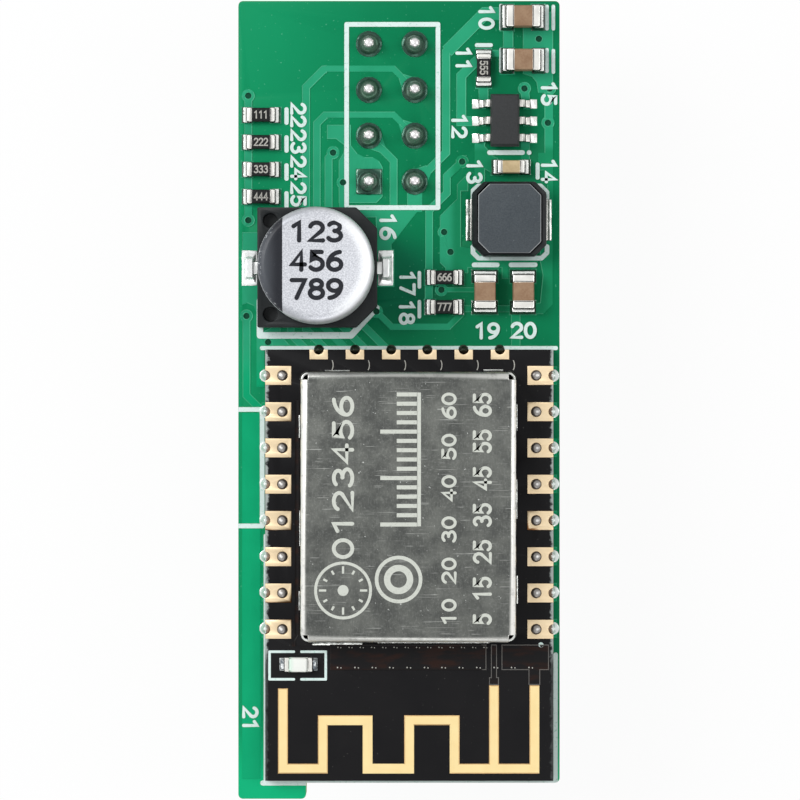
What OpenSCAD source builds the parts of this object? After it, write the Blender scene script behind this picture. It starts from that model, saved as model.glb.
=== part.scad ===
// Plug-in radio card. A green carrier board has a 2 x 4 socket soldered below one end, a
// step-down supply and a storage capacitor above it, and a castellated radio module with a
// folded shield and a printed meander antenna at the other end.
// Millimetres. The origin is the centre of the socket's mating face. +Z points from that face
// through the board, and +Y points along the board, away from the radio module.

/* [Carrier board] */
// Width of the carrier board
board_w = 17.8; // [17.7:0.1:19]
// Length of the carrier board, without its corner tab
board_l = 43.3; // [43.2:0.1:46]
// Thickness of the carrier board
board_t = 1.6; // [0.8:0.1:2]
// How far the corner tab runs past the end of the board
tab_l = 0.9; // [0.3:0.1:2]
// Width of the corner tab
tab_w = 3.75; // [2:0.05:8]

/* [Socket] */
// Height of the socket body
socket_h = 8.5; // [7:0.1:11]
// How far each contact tail stands above the carrier board
tail_rise = 0.95; // [0.5:0.05:1.5]

/* [Radio module] */
// Width of the module board
module_w = 15.9; // [15.8:0.1:16.1]
// Length of the module board
module_l = 23.8; // [23.7:0.1:24]
// Thickness of the module board
module_t = 0.8; // [0.6:0.1:1.2]
// Width of the shield
shield_w = 11.8; // [11:0.1:12]
// Length of the shield
shield_l = 14.8; // [14:0.1:15]
// Height of the shield above the module board
shield_h = 2.2; // [2.1:0.1:3]
// Thickness of the shield's sheet
shield_t = 0.15; // [0.1:0.01:0.2]
// Width of the antenna strip
antenna_w = 0.54; // [0.4:0.02:0.6]

/* [Storage capacitor] */
// Diameter of the can
can_d = 6.3; // [5:0.1:6.3]
// Height of the capacitor above its pads
can_h = 5.4; // [4.4:0.1:7.7]
// Side of the square base
base_side = 6.6; // [6.5:0.1:6.8]

/* [Power inductor] */
// Side of the inductor
inductor_side = 4.1; // [3.9:0.1:4.2]
// Height of the inductor
inductor_h = 1.8; // [1.2:0.1:3]

/* [Regulator] */
// Height of the regulator above its pads
regulator_h = 1.15; // [0.9:0.05:1.3]

/* [Surface layers] */
// Thickness of the copper on each board
copper_t = 0.035; // [0.018:0.001:0.07]
// Thickness of the printed ink
ink_t = 0.02; // [0.01:0.005:0.03]

/* [Hidden] */

// Heights of the main levels
board_z = socket_h;
board_top = board_z + board_t;
pad_z = board_top + copper_t;
module_z = pad_z + copper_t;
module_top = module_z + module_t;
module_pad_z = module_top + copper_t;

// Carrier board outline
board_left = -8.5;
board_far = 6.2;
board_near = board_far - board_l;
board_corner = 0.25;

// Socket and its eight contacts
pitch = 2.54;
socket_size = [2 * pitch, 4 * pitch];
pin_hole_d = 1;
pin_pad_d = 1.5;
square_pad = 1.56;
tail_size = [0.5, 0.3];
cavity_size = [1.5, 0.9];
mouth_size = 0.9;
mouth_depth = 0.5;
leaf_t = 0.15;
PIN_PLACES = [for (ix = [-0.5, 0.5], iy = [-1.5 : 1.5]) [ix * pitch, iy * pitch]];
FIRST_PIN = PIN_PLACES[0];

// Plated holes that carry tracks through the carrier board
via_d = 0.35;
via_ring_d = 0.75;
VIAS = [
    [-7.95, 0.95], [-7.95, -5.95], [-8.05, -11.25], [-6.85, -12.7], [-3.25, -2.2],
    [-2.7, -3.85], [-0.85, -11], [3.9, -2.7], [2.9, -6.6], [3.25, -7.7],
    [7.35, 1.35], [8.15, 4.1], [8.65, -0.55], [8.75, 1.35], [2.75, -9.8]];

// Tracks on the carrier board, each a width and a route
TRACKS = [
    [0.36, [[1.27, 1.27], [0.1, 2.45], [-3.7, 2.45]]],
    [0.46, [[-3.6, 2.41], [-3.78, 2.4], [-4.75, 1.43], [-4.75, -12], [-3.35, -13.4]]],
    [0.36, [[1.27, -1.27], [0.1, -0.1], [-3.6, -0.1]]],
    [0.44, [[-3.55, -0.14], [-3.7, -0.14], [-4.15, -0.59], [-4.15, -11.45], [-2.2, -13.4]]],
    [0.46, [[-3.25, -2.2], [-3.5, -2.5], [-3.5, -11.05], [-1.15, -13.4]]],
    [0.45, [[-2.7, -5], [-2.7, -10.65], [0.05, -13.4]]],
    [0.45, [[-5.6, -9], [-5.6, -12.25], [-4.45, -13.4]]],
    [0.46, [[-1.27, -1.27], [0.1, -2.65], [0.1, -6]]],
    [0.46, [[-7.95, 0.95], [-7.95, -5.95]]],
    [0.46, [[-8.05, -11.25], [-8.05, -15.65], [-7.2, -16.5]]],
    [0.46, [[-7.27, -12.5], [-7.27, -15.2]]],
    [0.74, [[6.2, 5.5], [5.15, 5.5], [3.05, 3.4]]],
    [0.48, [[3.25, 3.65], [3.01, 3.4], [3.01, -2.2], [1.4, -3.8]]],
    [0.86, [[1.27, -3.8], [1.27, -5.5]]],
    [0.57, [[4.9, -0.46], [3.85, -0.46], [3.85, 2.05], [4.6, 2.8], [5.08, 3.2]]],
    [0.57, [[5.08, 1.8], [5.08, 0.5]]],
    [0.4, [[5.08, 3.3], [6.3, 3.3]]],
    [0.6, [[6.45, 5.3], [6.45, 2.9]]],
    [0.5, [[7.35, 1.35], [7.45, 0.5]]],
    [0.6, [[4.88, -1.3], [4.88, -4.2]]],
    [0.53, [[7.4, -1.4], [7.4, -3]]],
    [0.45, [[3.9, -2.7], [3.05, -3.5], [3.05, -4.45], [2.07, -5.4], [2.07, -9]]],
    [0.47, [[2.05, -9.2], [2.05, -10.7]]],
    [0.37, [[-0.85, -11], [0, -11.85], [3.15, -11.85], [3.8, -11.2], [3.8, -10.8]]],
    [0.3, [[2.75, -9.8], [4.9, -9.8]]],
    [0.54, [[6.87, -10.9], [6.87, -13.4]]]];

// Tracks that widen into a socket contact's pad: pad, point on the track, track width
TEARDROPS = [
    [PIN_PLACES[6], [0.1, 2.45], 0.36], [PIN_PLACES[5], [0.1, -0.1], 0.36],
    [PIN_PLACES[1], [0.1, -2.65], 0.46], [PIN_PLACES[4], [3.01, -2.2], 0.48]];
teardrop_l = 1.1;

// Wider areas of copper on the carrier board
POURS = [
    // between the socket's first column and the storage capacitor
    [[-3.6, -0.65], [-2.25, -0.65], [-2.25, -1.8], [-1.9, -2.25], [-1.5, -2.45], [-1.05, -2.45],
     [-0.7, -2.65], [-0.5, -3], [-0.5, -4.65], [-0.85, -5], [-2.95, -5], [-2.95, -2.65],
     [-2.65, -2.15], [-2.65, -1.8], [-3.1, -1.45], [-3.6, -1.45]],
    // from the last contact to the storage capacitor's right-hand pad
    [[1.6, -5.25], [-2, -5.25], [-2, -5.8], [-0.9, -5.8], [-0.85, -8.2], [0, -8.2], [0, -7.3]],
    // storage capacitor's left-hand pad
    [[-8.3, -6.6], [-7.1, -6.6], [-7.1, -10.9], [-7.5, -11.05], [-7.65, -10.7], [-8, -10.55],
     [-8.3, -10.65]],
    // first two tracks to the module
    [[-7.5, -12.3], [-6.15, -11.6], [-6.15, -12.3], [-5.6, -12.9], [-7.5, -12.9]],
    // supply, from the input ceramics down the right-hand edge to the inductor
    [[7.25, 5.6], [8.95, 5.6], [8.95, -5.6], [8.6, -5.6], [8.6, -4], [8.4, -3.2], [8.1, -3.2],
     [8.1, -2.2], [8.45, -2.2], [8.45, 1.1], [8.1, 1.1], [8, 1.7], [7.75, 2], [7.25, 2.15]],
    // boost pin to the boost ceramic
    [[5.1, -1.8], [5.15, -1.8], [5.65, -2.4], [5.9, -2.5], [5.9, -3.35], [5.45, -3.3],
     [5.1, -3.1]],
    // left of the inductor and down to the output ceramics
    [[4.25, -3.5], [4.05, -3.5], [3.6, -3.95], [3.6, -4.75], [2.65, -5.7], [2.65, -8.3],
     [2.95, -8.6], [2.95, -8.9], [4.25, -8.9], [4.25, -8.6], [6.08, -8.6], [6.08, -9.2],
     [6.48, -9.2], [6.48, -8.6], [8, -8.6], [8.1, -8.2], [8, -7.55], [4.6, -7.55],
     [3.85, -7.4], [3.85, -4.35], [4.25, -4.35]],
    // right of the output ceramics
    [[8.55, -6.4], [8.92, -6.4], [8.92, -10.6], [8.4, -11.15], [7.3, -11.15], [7.3, -10.7],
     [8.2, -10.5], [8.35, -9], [8.2, -8.2], [8.2, -6.4]],
    // between the output ceramics' near pads
    [[4.9, -10.65], [7.3, -10.65], [7.3, -11.05], [3.6, -11.05], [3.6, -10.65]],
    // strip down the left-hand edge beside the module
    [[-8.3, -16.6], [-7.25, -16.6], [-7.25, -36.9], [-8.3, -36.9]]];

// Printed lines on the carrier board, each a width and a route
line_w = 0.26;
wide_line_w = 0.36;
PRINTED_LINES = [
    // socket outline
    [line_w, [[-2.5, 4.9], [2.56, 4.9], [2.56, -5.25], [-2.5, -5.25], [-2.5, 4.9]]],
    // storage capacitor outline, cut off at its first corner
    [wide_line_w, [[-7.3, -10.4], [-7.3, -12.33], [-2.25, -12.33], [-0.85, -10.8]]],
    // inductor outline, open beside its terminals
    [line_w, [[4.5, -4.75], [4.5, -4.3], [4.8, -4.05], [5.15, -4.05]]],
    [line_w, [[7.85, -4.05], [8.25, -4.05], [8.6, -4.4], [8.6, -4.75]]],
    [line_w, [[4.5, -7.4], [4.5, -7.75], [4.8, -8.05], [8.3, -8.05], [8.6, -7.75], [8.6, -7.4]]],
    // regulator outline and the dot at its first lead
    [line_w, [[5.4, -2.2], [7.25, -2.2]]],
    [line_w, [[7.6, -2.2], [7.62, -2.2]]],
    // bars beside the ceramics
    [0.2, [[6.05, 5.95], [6.05, 4.65]]],
    [0.2, [[8.6, 5.9], [8.6, 4.65]]],
    [0.2, [[8.95, 5.9], [8.95, 4.65]]],
    [0.2, [[6.05, 3.5], [6.05, 2.3]]],
    [0.2, [[8.6, 3.5], [8.6, 2.3]]],
    [0.2, [[8.95, 3.45], [8.95, 2.25]]],
    [0.22, [[8.08, -2.85], [8.08, -3.6]]],
    [line_w, [[4.55, -8.42], [5.85, -8.42]]],
    [line_w, [[6.6, -8.42], [7.95, -8.42]]],
    // bars beside the resistors
    [0.22, [[4.7, 3.75], [5.5, 3.75]]],
    [0.2, [[1.53, -8.85], [1.53, -9.65]]],
    [0.2, [[1.53, -10.45], [1.53, -11.3]]],
    for (i = [0 : 3]) [0.24, [[-5.83, 0.2 - 1.55 * i], [-5.83, -0.55 - 1.55 * i]]],
    // label field beside the module, open at the board's edge
    [line_w, [[-8.6, -16.43], [-7.18, -16.43], [-7.18, -22.88], [-8.6, -22.88]]],
    // module outline
    [0.23, [[-7.2, -13.03], [9.1, -13.03]]],
    [0.24, [[9.08, -30], [9.08, -37.02], [-4.7, -37.02]]],
    [0.28, [[-4.7, -37.12], [-7.15, -37.12]]],
    [0.16, [[-7.02, -23.4], [-7.02, -37.1]]]];

// Chip parts: length, width, height, end length, pad span, pad width
CHIP_0603 = [1.55, 0.8, 0.45, 0.3, 2.3, 0.95];
CERAMIC_0603 = [1.5, 0.75, 0.7, 0.3, 2.3, 0.95];
CERAMIC_0805 = [1.87, 1.2, 1.05, 0.46, 2.6, 1.56];

// Ceramic capacitors: name, place, turn, size
CERAMICS = [
    ["input_ceramic_1", [7.25, 5.28], 0, CERAMIC_0805],
    ["input_ceramic_2", [7.27, 2.88], 0, CERAMIC_0805],
    ["boost_ceramic", [6.6, -3.02], 0, CERAMIC_0603],
    ["output_ceramic_1", [5.15, -9.92], 90, CERAMIC_0805],
    ["output_ceramic_2", [7.27, -9.92], 90, CERAMIC_0805]];

// Chip resistors: name, place, turn, size
RESISTORS = [
    ["enable_resistor", [5.09, 2.46], 90, CHIP_0603],
    ["divider_resistor_1", [2.92, -9.12], 0, CHIP_0603],
    ["divider_resistor_2", [2.91, -10.76], 0, CHIP_0603],
    for (i = [0 : 3])
        [str("pull_up_resistor_", i + 1), [-7.23, -0.13 - 1.507 * i], 0, CHIP_0603]];

// Seat of a chip part's ends in its solder
solder_film = 0.03;
end_skin = 0.02;

// Storage capacitor
can_at = [-4.1, -8.6];
base_h = 1.3;
base_floor = 0.4;
base_chamfer = 1.15;
can_shoulder = 0.45;
can_sink = 0.03;
lead_w = 0.7;
lead_t = 0.2;
lead_reach = 3.9;
lead_pad = [1.3, 2.1];
lead_pad_reach = 4.25;
polarity_x = -1.8;

// Regulator in a six-lead moulded case
regulator_at = [6.25, -0.46];
regulator_size = [1.6, 2.9];
regulator_gap = 0.08;
regulator_lead_w = 0.4;
regulator_lead_t = 0.14;
regulator_span = 2.8;
regulator_lead_pitch = 0.95;
regulator_pad_span = 3.65;
regulator_pad_w = 0.58;

// Power inductor on a ferrite drum
inductor_at = [6.48, -5.93];
flange_t = 0.35;
flange_top = [3.45, 3.8];
flange_chamfer = 0.62;
drum_d = 1.7;
winding_d = 3.1;
terminal_w = 2.3;
terminal_wrap = 0.7;
terminal_t = 0.08;

// Radio module
module_at = [0.97, -25.02];
edge_pad_pitch = 2;
side_pad = [1.44, 1.05];
side_hole_d = 0.63;
side_hole_inset = 0.95;
end_pad = [1.02, 0.55];
notch_r = 0.3;
plating_t = 0.03;
SIDE_PAD_Y = [for (i = [0 : 7]) -14.55 - edge_pad_pitch * i];
END_PAD_X = [for (i = [0 : 5]) -4.03 + edge_pad_pitch * i];
module_far = module_at.y + module_l / 2;

// Printed antenna: its route from the open end to the ground leg, and its feed
ANTENNA = [
    [-6, -31.82], [-6, -36.24], [-3.8, -36.24], [-3.8, -33.57], [-1.33, -33.57],
    [-1.33, -36.24], [0.96, -36.24], [0.96, -33.57], [3.47, -33.57], [3.47, -36.24],
    [7.87, -36.24], [7.87, -31.65]];
ANTENNA_FEED = [[5.64, -31.65], [5.64, -36.24]];

// Shield and what it covers
shield_at = [0.91, -21.77];
shield_bend = 0.4;
shield_corner = 0.42;
radio_chip_at = [2.4, -18.6];
flash_chip_at = [-1.7, -24.6];
crystal_at = [4.2, -25.6];

// Status lamp on the module
lamp_at = [-5.14, -30.48];
LAMP = [1.55, 0.8, 0.4, 0.32, 2.2, 0.85];

// ---- Helpers ----

// Unit normal to the left of the line from a to b
function normal(a, b) = let (run = b - a) [-run.y, run.x] / norm(run);

// Sideways direction at point i of a route, mitred where the route bends
function mitre(route, i) =
    let (last = len(route) - 1,
         before = normal(route[max(i, 1) - 1], route[max(i, 1)]),
         after = normal(route[min(i, last - 1)], route[min(i, last - 1) + 1]))
    (before + after) / (1 + before * after);

// Outline of a strip of one width along a route
function strip(route, width) = concat(
    [for (i = [0 : len(route) - 1]) route[i] + mitre(route, i) * width / 2],
    [for (i = [len(route) - 1 : -1 : 0]) route[i] - mitre(route, i) * width / 2]);

// Outline that narrows from a round pad to a track which leaves it towards a point
function teardrop(pad, toward, width) =
    let (along = (toward - pad) / norm(toward - pad), across = [-along.y, along.x])
    [pad + across * pin_pad_d / 2, pad + along * teardrop_l + across * width / 2,
     pad + along * teardrop_l - across * width / 2, pad - across * pin_pad_d / 2];

// Points along an arc
function arc(centre, radius, from, to, steps = 6) = [
    for (i = [0 : steps]) let (turn = from + (to - from) * i / steps)
        centre + radius * [cos(turn), sin(turn)]];

// Block with every edge chamfered, standing on z = 0
module chamfered_block(size, chamfer) {
    inner = size - 2 * chamfer * [1, 1, 1];
    translate([0, 0, size.z / 2]) hull() {
        cube([size.x, inner.y, inner.z], center = true);
        cube([inner.x, size.y, inner.z], center = true);
        cube([inner.x, inner.y, size.z], center = true);
    }
}

// Rectangle with its corners cut off
module chamfered_square(size, chamfer) {
    half = size / 2;
    polygon([
        [half.x - chamfer, -half.y], [half.x, chamfer - half.y],
        [half.x, half.y - chamfer], [half.x - chamfer, half.y],
        [chamfer - half.x, half.y], [-half.x, half.y - chamfer],
        [-half.x, chamfer - half.y], [chamfer - half.x, -half.y]]);
}

// Hollow curve of a solder fillet, from its toe at [width, 0] up to [0, height]
function hollow(width, height, steps = 4) = [
    for (i = [0 : steps]) let (turn = 270 - 90 * i / steps)
        [width * (1 + cos(turn)), height * (1 + sin(turn))]];

// Section of a mound of solder with two hollow flanks
function mound_section(foot, top, height) =
    let (flank = hollow((foot - top) / 2, height))
    concat(
        [for (point = flank) [top / 2 + point.x, point.y]],
        [for (i = [len(flank) - 1 : -1 : 0]) [-top / 2 - flank[i].x, flank[i].y]]);

// Mound of solder, from a pad up to a smaller top
module solder_mound(pad, top, height) {
    intersection() {
        rotate([90, 0, 0]) translate([0, 0, -pad.y]) linear_extrude(2 * pad.y)
            polygon(mound_section(pad.x, top.x, height));
        rotate([90, 0, 90]) translate([0, 0, -pad.x]) linear_extrude(2 * pad.x)
            polygon(mound_section(pad.y, top.y, height));
    }
}

// ---- Carrier board ----

module carrier_outline() {
    offset(r = board_corner, $fn = 16) offset(delta = -board_corner)
        polygon([
            [board_left, board_far], [board_left + board_w, board_far],
            [board_left + board_w, board_near], [board_left + tab_w, board_near],
            [board_left + tab_w, board_near - tab_l], [board_left, board_near - tab_l]]);
}

module carrier_board() {
    color("seagreen") translate([0, 0, board_z]) difference() {
        linear_extrude(board_t) carrier_outline();
        for (at = PIN_PLACES)
            translate([at.x, at.y, -1]) cylinder(d = pin_hole_d, h = board_t + 2, $fn = 32);
        for (at = VIAS)
            translate([at.x, at.y, -1]) cylinder(d = via_d, h = board_t + 2, $fn = 16);
    }
}

// Two pads of a chip part
module chip_pads(part) {
    size = part[3];
    pad = [(size[4] - size[0]) / 2 + size[3] + 0.05, size[5]];
    translate(part[1]) rotate(part[2])
        for (side = [-1, 1])
            translate([side * (size[4] - pad.x) / 2, 0]) square(pad, center = true);
}

// Copper on the top of the carrier board: tracks, areas, rings and pads
module copper_artwork() {
    for (track = TRACKS) polygon(strip(track[1], track[0]));
    for (area = POURS) polygon(area);
    for (drop = TEARDROPS) polygon(teardrop(drop[0], drop[1], drop[2]));
    for (at = VIAS) translate(at) circle(d = via_ring_d, $fn = 20);
    for (at = PIN_PLACES)
        if (at != FIRST_PIN) translate(at) circle(d = pin_pad_d, $fn = 24);
    translate(FIRST_PIN) square(square_pad, center = true);
    for (part = concat(CERAMICS, RESISTORS)) chip_pads(part);
    for (side = [-1, 1]) {
        translate(can_at + [side * (lead_pad_reach - lead_pad.x / 2), 0])
            square(lead_pad, center = true);
        translate(inductor_at + [side * 1.85, 0]) square([1, 2.35], center = true);
        for (row = [-1 : 1])
            translate(regulator_at
                      + [side * (regulator_pad_span / 2 - 0.4), row * regulator_lead_pitch])
                square([0.8, regulator_pad_w], center = true);
    }
    for (side = [-1, 1], y = SIDE_PAD_Y)
        translate([module_at.x + side * (module_w / 2 - 0.45), y])
            square([1.4, 1.05], center = true);
    for (x = END_PAD_X) translate([x, module_far - 0.35]) square([1, 1.2], center = true);
}

// The etched copper stands back a little from the artwork's edges
module carrier_copper() {
    etch = 0.01;
    color("mediumseagreen") translate([0, 0, board_top]) linear_extrude(copper_t)
        offset(delta = -etch) difference() {
            copper_artwork();
            for (at = PIN_PLACES) translate(at) circle(d = pin_hole_d - 2 * etch, $fn = 24);
            for (at = VIAS) translate(at) circle(d = via_d - 2 * etch, $fn = 16);
        }
}

// Printed lines, laid over the board and over the copper that they cross
module carrier_print() {
    hair = 0.02;
    color("white") translate([0, 0, board_top]) difference() {
        linear_extrude(copper_t + ink_t) intersection() {
            carrier_outline();
            union()
                for (line = PRINTED_LINES)
                    offset(r = (line[0] - hair) / 2, $fn = 12) polygon(strip(line[1], hair));
        }
        translate([0, 0, -1]) linear_extrude(1 + copper_t) copper_artwork();
        for (at = VIAS)
            translate([at.x, at.y, -1]) cylinder(d = via_d, h = 2, $fn = 16);
    }
}

// ---- Socket ----

module socket_housing() {
    color("dimgray") difference() {
        linear_extrude(socket_h) chamfered_square(socket_size, 0.15);
        for (at = PIN_PLACES) translate(at) {
            translate([0, 0, (mouth_depth + socket_h + 1) / 2])
                cube([cavity_size.x, cavity_size.y, socket_h + 1 - mouth_depth], center = true);
            translate([0, 0, -0.01])
                linear_extrude(mouth_depth + 0.02, scale = 0.65)
                    square(mouth_size + 0.3, center = true);
        }
    }
}

// One contact: a pair of sprung leaves, a yoke across the cavity and a tail through the board
module contact() {
    yoke_z = socket_h - 2;
    rotate([90, 0, 0]) {
        translate([0, 0, -0.3]) linear_extrude(0.6) {
            translate([-cavity_size.x / 2, yoke_z]) square([cavity_size.x, 0.6]);
            for (side = [-1, 1])
                polygon(strip([
                    [side * 0.6, yoke_z + 0.1], [side * 0.6, 5], [side * 0.38, 2.6],
                    [side * 0.55, 1.2]], leaf_t));
        }
        translate([0, 0, -tail_size.y / 2]) linear_extrude(tail_size.y)
            translate([-tail_size.x / 2, yoke_z + 0.3])
                square([tail_size.x, board_top + tail_rise - yoke_z - 0.3]);
    }
}

module socket_contacts() {
    color("gold") for (at = PIN_PLACES) translate(at) contact();
}

// Solder joint: it fills the plated hole and climbs the tail in a hollow cone with a round tip
module header_joint(square_foot) {
    foot_r = pin_pad_d / 2;
    tip_r = 0.33;
    tip_z = board_t + tail_rise + 0.12;
    rise = tip_z - tip_r - board_t - copper_t;
    difference() {
        union() {
            rotate_extrude($fn = 40)
                polygon(concat(
                    [[0, 0], [pin_hole_d / 2, 0], [pin_hole_d / 2, board_t + copper_t]],
                    [for (i = [0 : 6]) let (u = i / 6)
                        [foot_r + (tip_r - foot_r) * pow(u, 0.55),
                         board_t + copper_t + 0.04 + rise * pow(u, 1.3) * 0.95]],
                    arc([0, tip_z - tip_r], tip_r, 15, 90, 4)));
            if (square_foot)
                translate([0, 0, board_t + copper_t]) linear_extrude(0.12, scale = 0.88)
                    square(square_pad - 0.04, center = true);
            translate([0, 0, board_t + copper_t]) cylinder(r = foot_r, h = 0.04, $fn = 40);
        }
        translate([0, 0, (board_t + tail_rise) / 2 - 1])
            cube([tail_size.x, tail_size.y, board_t + tail_rise + 2], center = true);
    }
}

module header_solder() {
    color("silver") for (at = PIN_PLACES)
        translate([at.x, at.y, board_z]) header_joint(at == FIRST_PIN);
}

// ---- Storage capacitor ----

module at_capacitor() {
    translate([can_at.x, can_at.y, pad_z]) children();
}

// Plan of the base: a square with the two corners on its positive side cut off
module base_plan() {
    half = base_side / 2;
    polygon([
        [-half, -half], [half - base_chamfer, -half], [half, base_chamfer - half],
        [half, half - base_chamfer], [half - base_chamfer, half], [-half, half]]);
}

module capacitor_base() {
    corner = base_side / 2 - 0.72;
    color([0.15, 0.15, 0.16]) at_capacitor() difference() {
        linear_extrude(base_h) base_plan();
        translate([0, 0, base_floor]) cylinder(d = can_d, h = base_h, $fn = 96);
        for (side = [-1, 1])
            translate([-corner, side * corner, base_h - 0.55])
                cylinder(d = 0.8, h = 1, $fn = 24);
        for (side = [-1, 1])
            translate([side * base_side / 2, 0, 0])
                cube([base_side - 1.6, lead_w, 2 * lead_t], center = true);
    }
}

// Profile of the can: the crimped groove that holds the seal, a straight side and a
// pressed shoulder round a slightly sunken top
module can_profile() {
    r = can_d / 2;
    groove_r = 0.6;
    groove_turn = 41.4;
    polygon(concat(
        [[0, base_floor], [r - 0.25, base_floor], [r, base_floor + 0.25]],
        arc([r + groove_r * cos(groove_turn), base_h + 0.6], groove_r,
            180 + groove_turn, 180 - groove_turn, 6),
        arc([r - can_shoulder, can_h - can_shoulder], can_shoulder, 0, 90, 8),
        [[r - can_shoulder - 0.25, can_h - can_sink], [0, can_h - can_sink]]));
}

module capacitor_can() {
    color("lightgray") at_capacitor() rotate_extrude($fn = 96) can_profile();
}

// Dark segment printed on the can above its negative lead, over the shoulder too
module polarity_mark() {
    r = can_d / 2;
    shoulder_at = [r - can_shoulder, can_h - can_shoulder];
    flat_start = [shoulder_at.x - 0.25, can_h - can_sink];
    film = [0, 0.015];
    color([0.1, 0.1, 0.11]) at_capacitor() intersection() {
        rotate_extrude($fn = 96)
            polygon(concat(
                arc(shoulder_at, can_shoulder, 90 / 8 * 2, 90, 6), [flat_start, [0, flat_start.y]],
                [[0, flat_start.y] + film, flat_start + film],
                arc(shoulder_at, can_shoulder + film.y, 90, 90 / 8 * 2, 6)));
        translate([-can_d, -can_d, 0]) cube([can_d + polarity_x, 2 * can_d, 2 * can_h]);
    }
}

module capacitor_leads() {
    inner = 0.8;
    color("silver") at_capacitor() for (side = [-1, 1])
        translate([side * (lead_reach + inner) / 2, 0, lead_t / 2])
            cube([lead_reach - inner, lead_w, lead_t], center = true);
}

module capacitor_solder() {
    outer = lead_pad_reach - 0.02;
    inner = base_side / 2 + 0.02;
    color("gainsboro") at_capacitor() difference() {
        for (side = [-1, 1])
            translate([side * (outer + inner) / 2, 0, 0])
                solder_mound([outer - inner, lead_pad.y - 0.04], [0.4, lead_w + 0.3], 0.42);
        cube([2 * lead_reach, lead_w, 2 * lead_t], center = true);
    }
}

// ---- Regulator ----

module at_regulator() {
    translate([regulator_at.x, regulator_at.y, pad_z]) children();
}

// Moulded case with drafted sides above and below its parting line
module regulator_body() {
    part_z = 0.55;
    color([0.2, 0.2, 0.21]) at_regulator() {
        hull() {
            translate([0, 0, part_z]) linear_extrude(0.1) square(regulator_size, center = true);
            translate([0, 0, regulator_gap])
                linear_extrude(0.01) square(regulator_size - [0.14, 0.14], center = true);
            translate([0, 0, regulator_h - 0.01])
                linear_extrude(0.01) square(regulator_size - [0.2, 0.2], center = true);
        }
    }
}

// Route of one gull-wing lead, from the case to its toe
function gull_wing() = [
    [regulator_size.x / 2, 0.6], [regulator_size.x / 2 + 0.16, 0.6],
    [regulator_size.x / 2 + 0.26, 0.5], [regulator_size.x / 2 + 0.3, 0.17],
    [regulator_size.x / 2 + 0.38, regulator_lead_t / 2 + 0.01],
    [regulator_span / 2, regulator_lead_t / 2 + 0.01]];

module regulator_leads() {
    color("silver") at_regulator()
        for (turn = [0, 180], row = [-1 : 1])
            rotate(turn) translate([0, row * regulator_lead_pitch, 0]) rotate([90, 0, 0])
                translate([0, 0, -regulator_lead_w / 2]) linear_extrude(regulator_lead_w)
                    polygon(strip(gull_wing(), regulator_lead_t));
}

// Hollow fillet in front of each toe
module regulator_solder() {
    reach = (regulator_pad_span - regulator_span) / 2 - 0.02;
    width = regulator_pad_w - 0.06;
    color("gainsboro") at_regulator()
        for (turn = [0, 180], row = [-1 : 1])
            rotate(turn) translate([regulator_span / 2, row * regulator_lead_pitch, 0])
                translate([0, width / 2, 0]) rotate([90, 0, 0]) linear_extrude(width)
                    polygon(concat([[0, 0]], hollow(reach, regulator_lead_t + 0.03)));
}

// ---- Power inductor ----

module at_inductor() {
    translate([inductor_at.x, inductor_at.y, pad_z + terminal_t]) children();
}

// Ferrite drum: a square foot, a round waist and an eight-sided top
module inductor_core() {
    body_h = inductor_h - terminal_t;
    color([0.32, 0.32, 0.34]) at_inductor() {
        linear_extrude(flange_t)
            chamfered_square([inductor_side, inductor_side], flange_chamfer);
        translate([0, 0, flange_t]) cylinder(d = drum_d, h = body_h - 2 * flange_t, $fn = 40);
        translate([0, 0, body_h - flange_t])
            linear_extrude(flange_t) chamfered_square(flange_top, flange_chamfer);
    }
}

module inductor_winding() {
    window = inductor_h - terminal_t - 2 * flange_t;
    color("peru") at_inductor() translate([0, 0, flange_t + 0.05]) difference() {
        cylinder(d = winding_d, h = window - 0.1, $fn = 96);
        translate([0, 0, -1]) cylinder(d = drum_d, h = window + 2, $fn = 96);
    }
}

// Magnetic resin that fills the window round the winding and slopes up to the top flange
module inductor_resin() {
    body_h = inductor_h - terminal_t;
    window = body_h - 2 * flange_t;
    fill_h = body_h - flange_t - 0.04;
    color([0.14, 0.14, 0.15]) at_inductor() difference() {
        hull() {
            translate([0, 0, flange_t]) linear_extrude(window - 0.2)
                chamfered_square([inductor_side, inductor_side], flange_chamfer);
            translate([0, 0, flange_t]) linear_extrude(fill_h + 0.2 - flange_t)
                chamfered_square(flange_top + [0.1, 0.1], flange_chamfer);
        }
        translate([0, 0, flange_t]) cylinder(d = drum_d, h = window, $fn = 40);
        translate([0, 0, flange_t + 0.05])
            cylinder(d = winding_d, h = window - 0.1, $fn = 48);
        translate([0, 0, body_h - flange_t])
            linear_extrude(1) chamfered_square(flange_top, flange_chamfer);
    }
}

// Fired metal under the foot, turned up at each side
module inductor_terminals() {
    half = inductor_side / 2;
    color("silver") at_inductor() for (turn = [0, 180]) rotate(turn)
        translate([0, terminal_w / 2, 0]) rotate([90, 0, 0]) linear_extrude(terminal_w)
            polygon([
                [half - terminal_wrap, -terminal_t], [half + terminal_t, -terminal_t],
                [half + terminal_t, flange_t], [half, flange_t], [half, 0],
                [half - terminal_wrap, 0]]);
}

module inductor_solder() {
    start = inductor_side / 2 + terminal_t;
    rise = flange_t + terminal_t - 0.05;
    color("gainsboro") translate([inductor_at.x, inductor_at.y, pad_z])
        for (turn = [0, 180]) rotate(turn)
            translate([start, terminal_w / 2, 0]) rotate([90, 0, 0]) linear_extrude(terminal_w)
                polygon(concat([[0, 0]], hollow(0.27, rise)));
}

// ---- Chip parts ----

module at_chip(part) {
    translate([part[1].x, part[1].y, pad_z]) rotate(part[2]) children();
}

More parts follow.
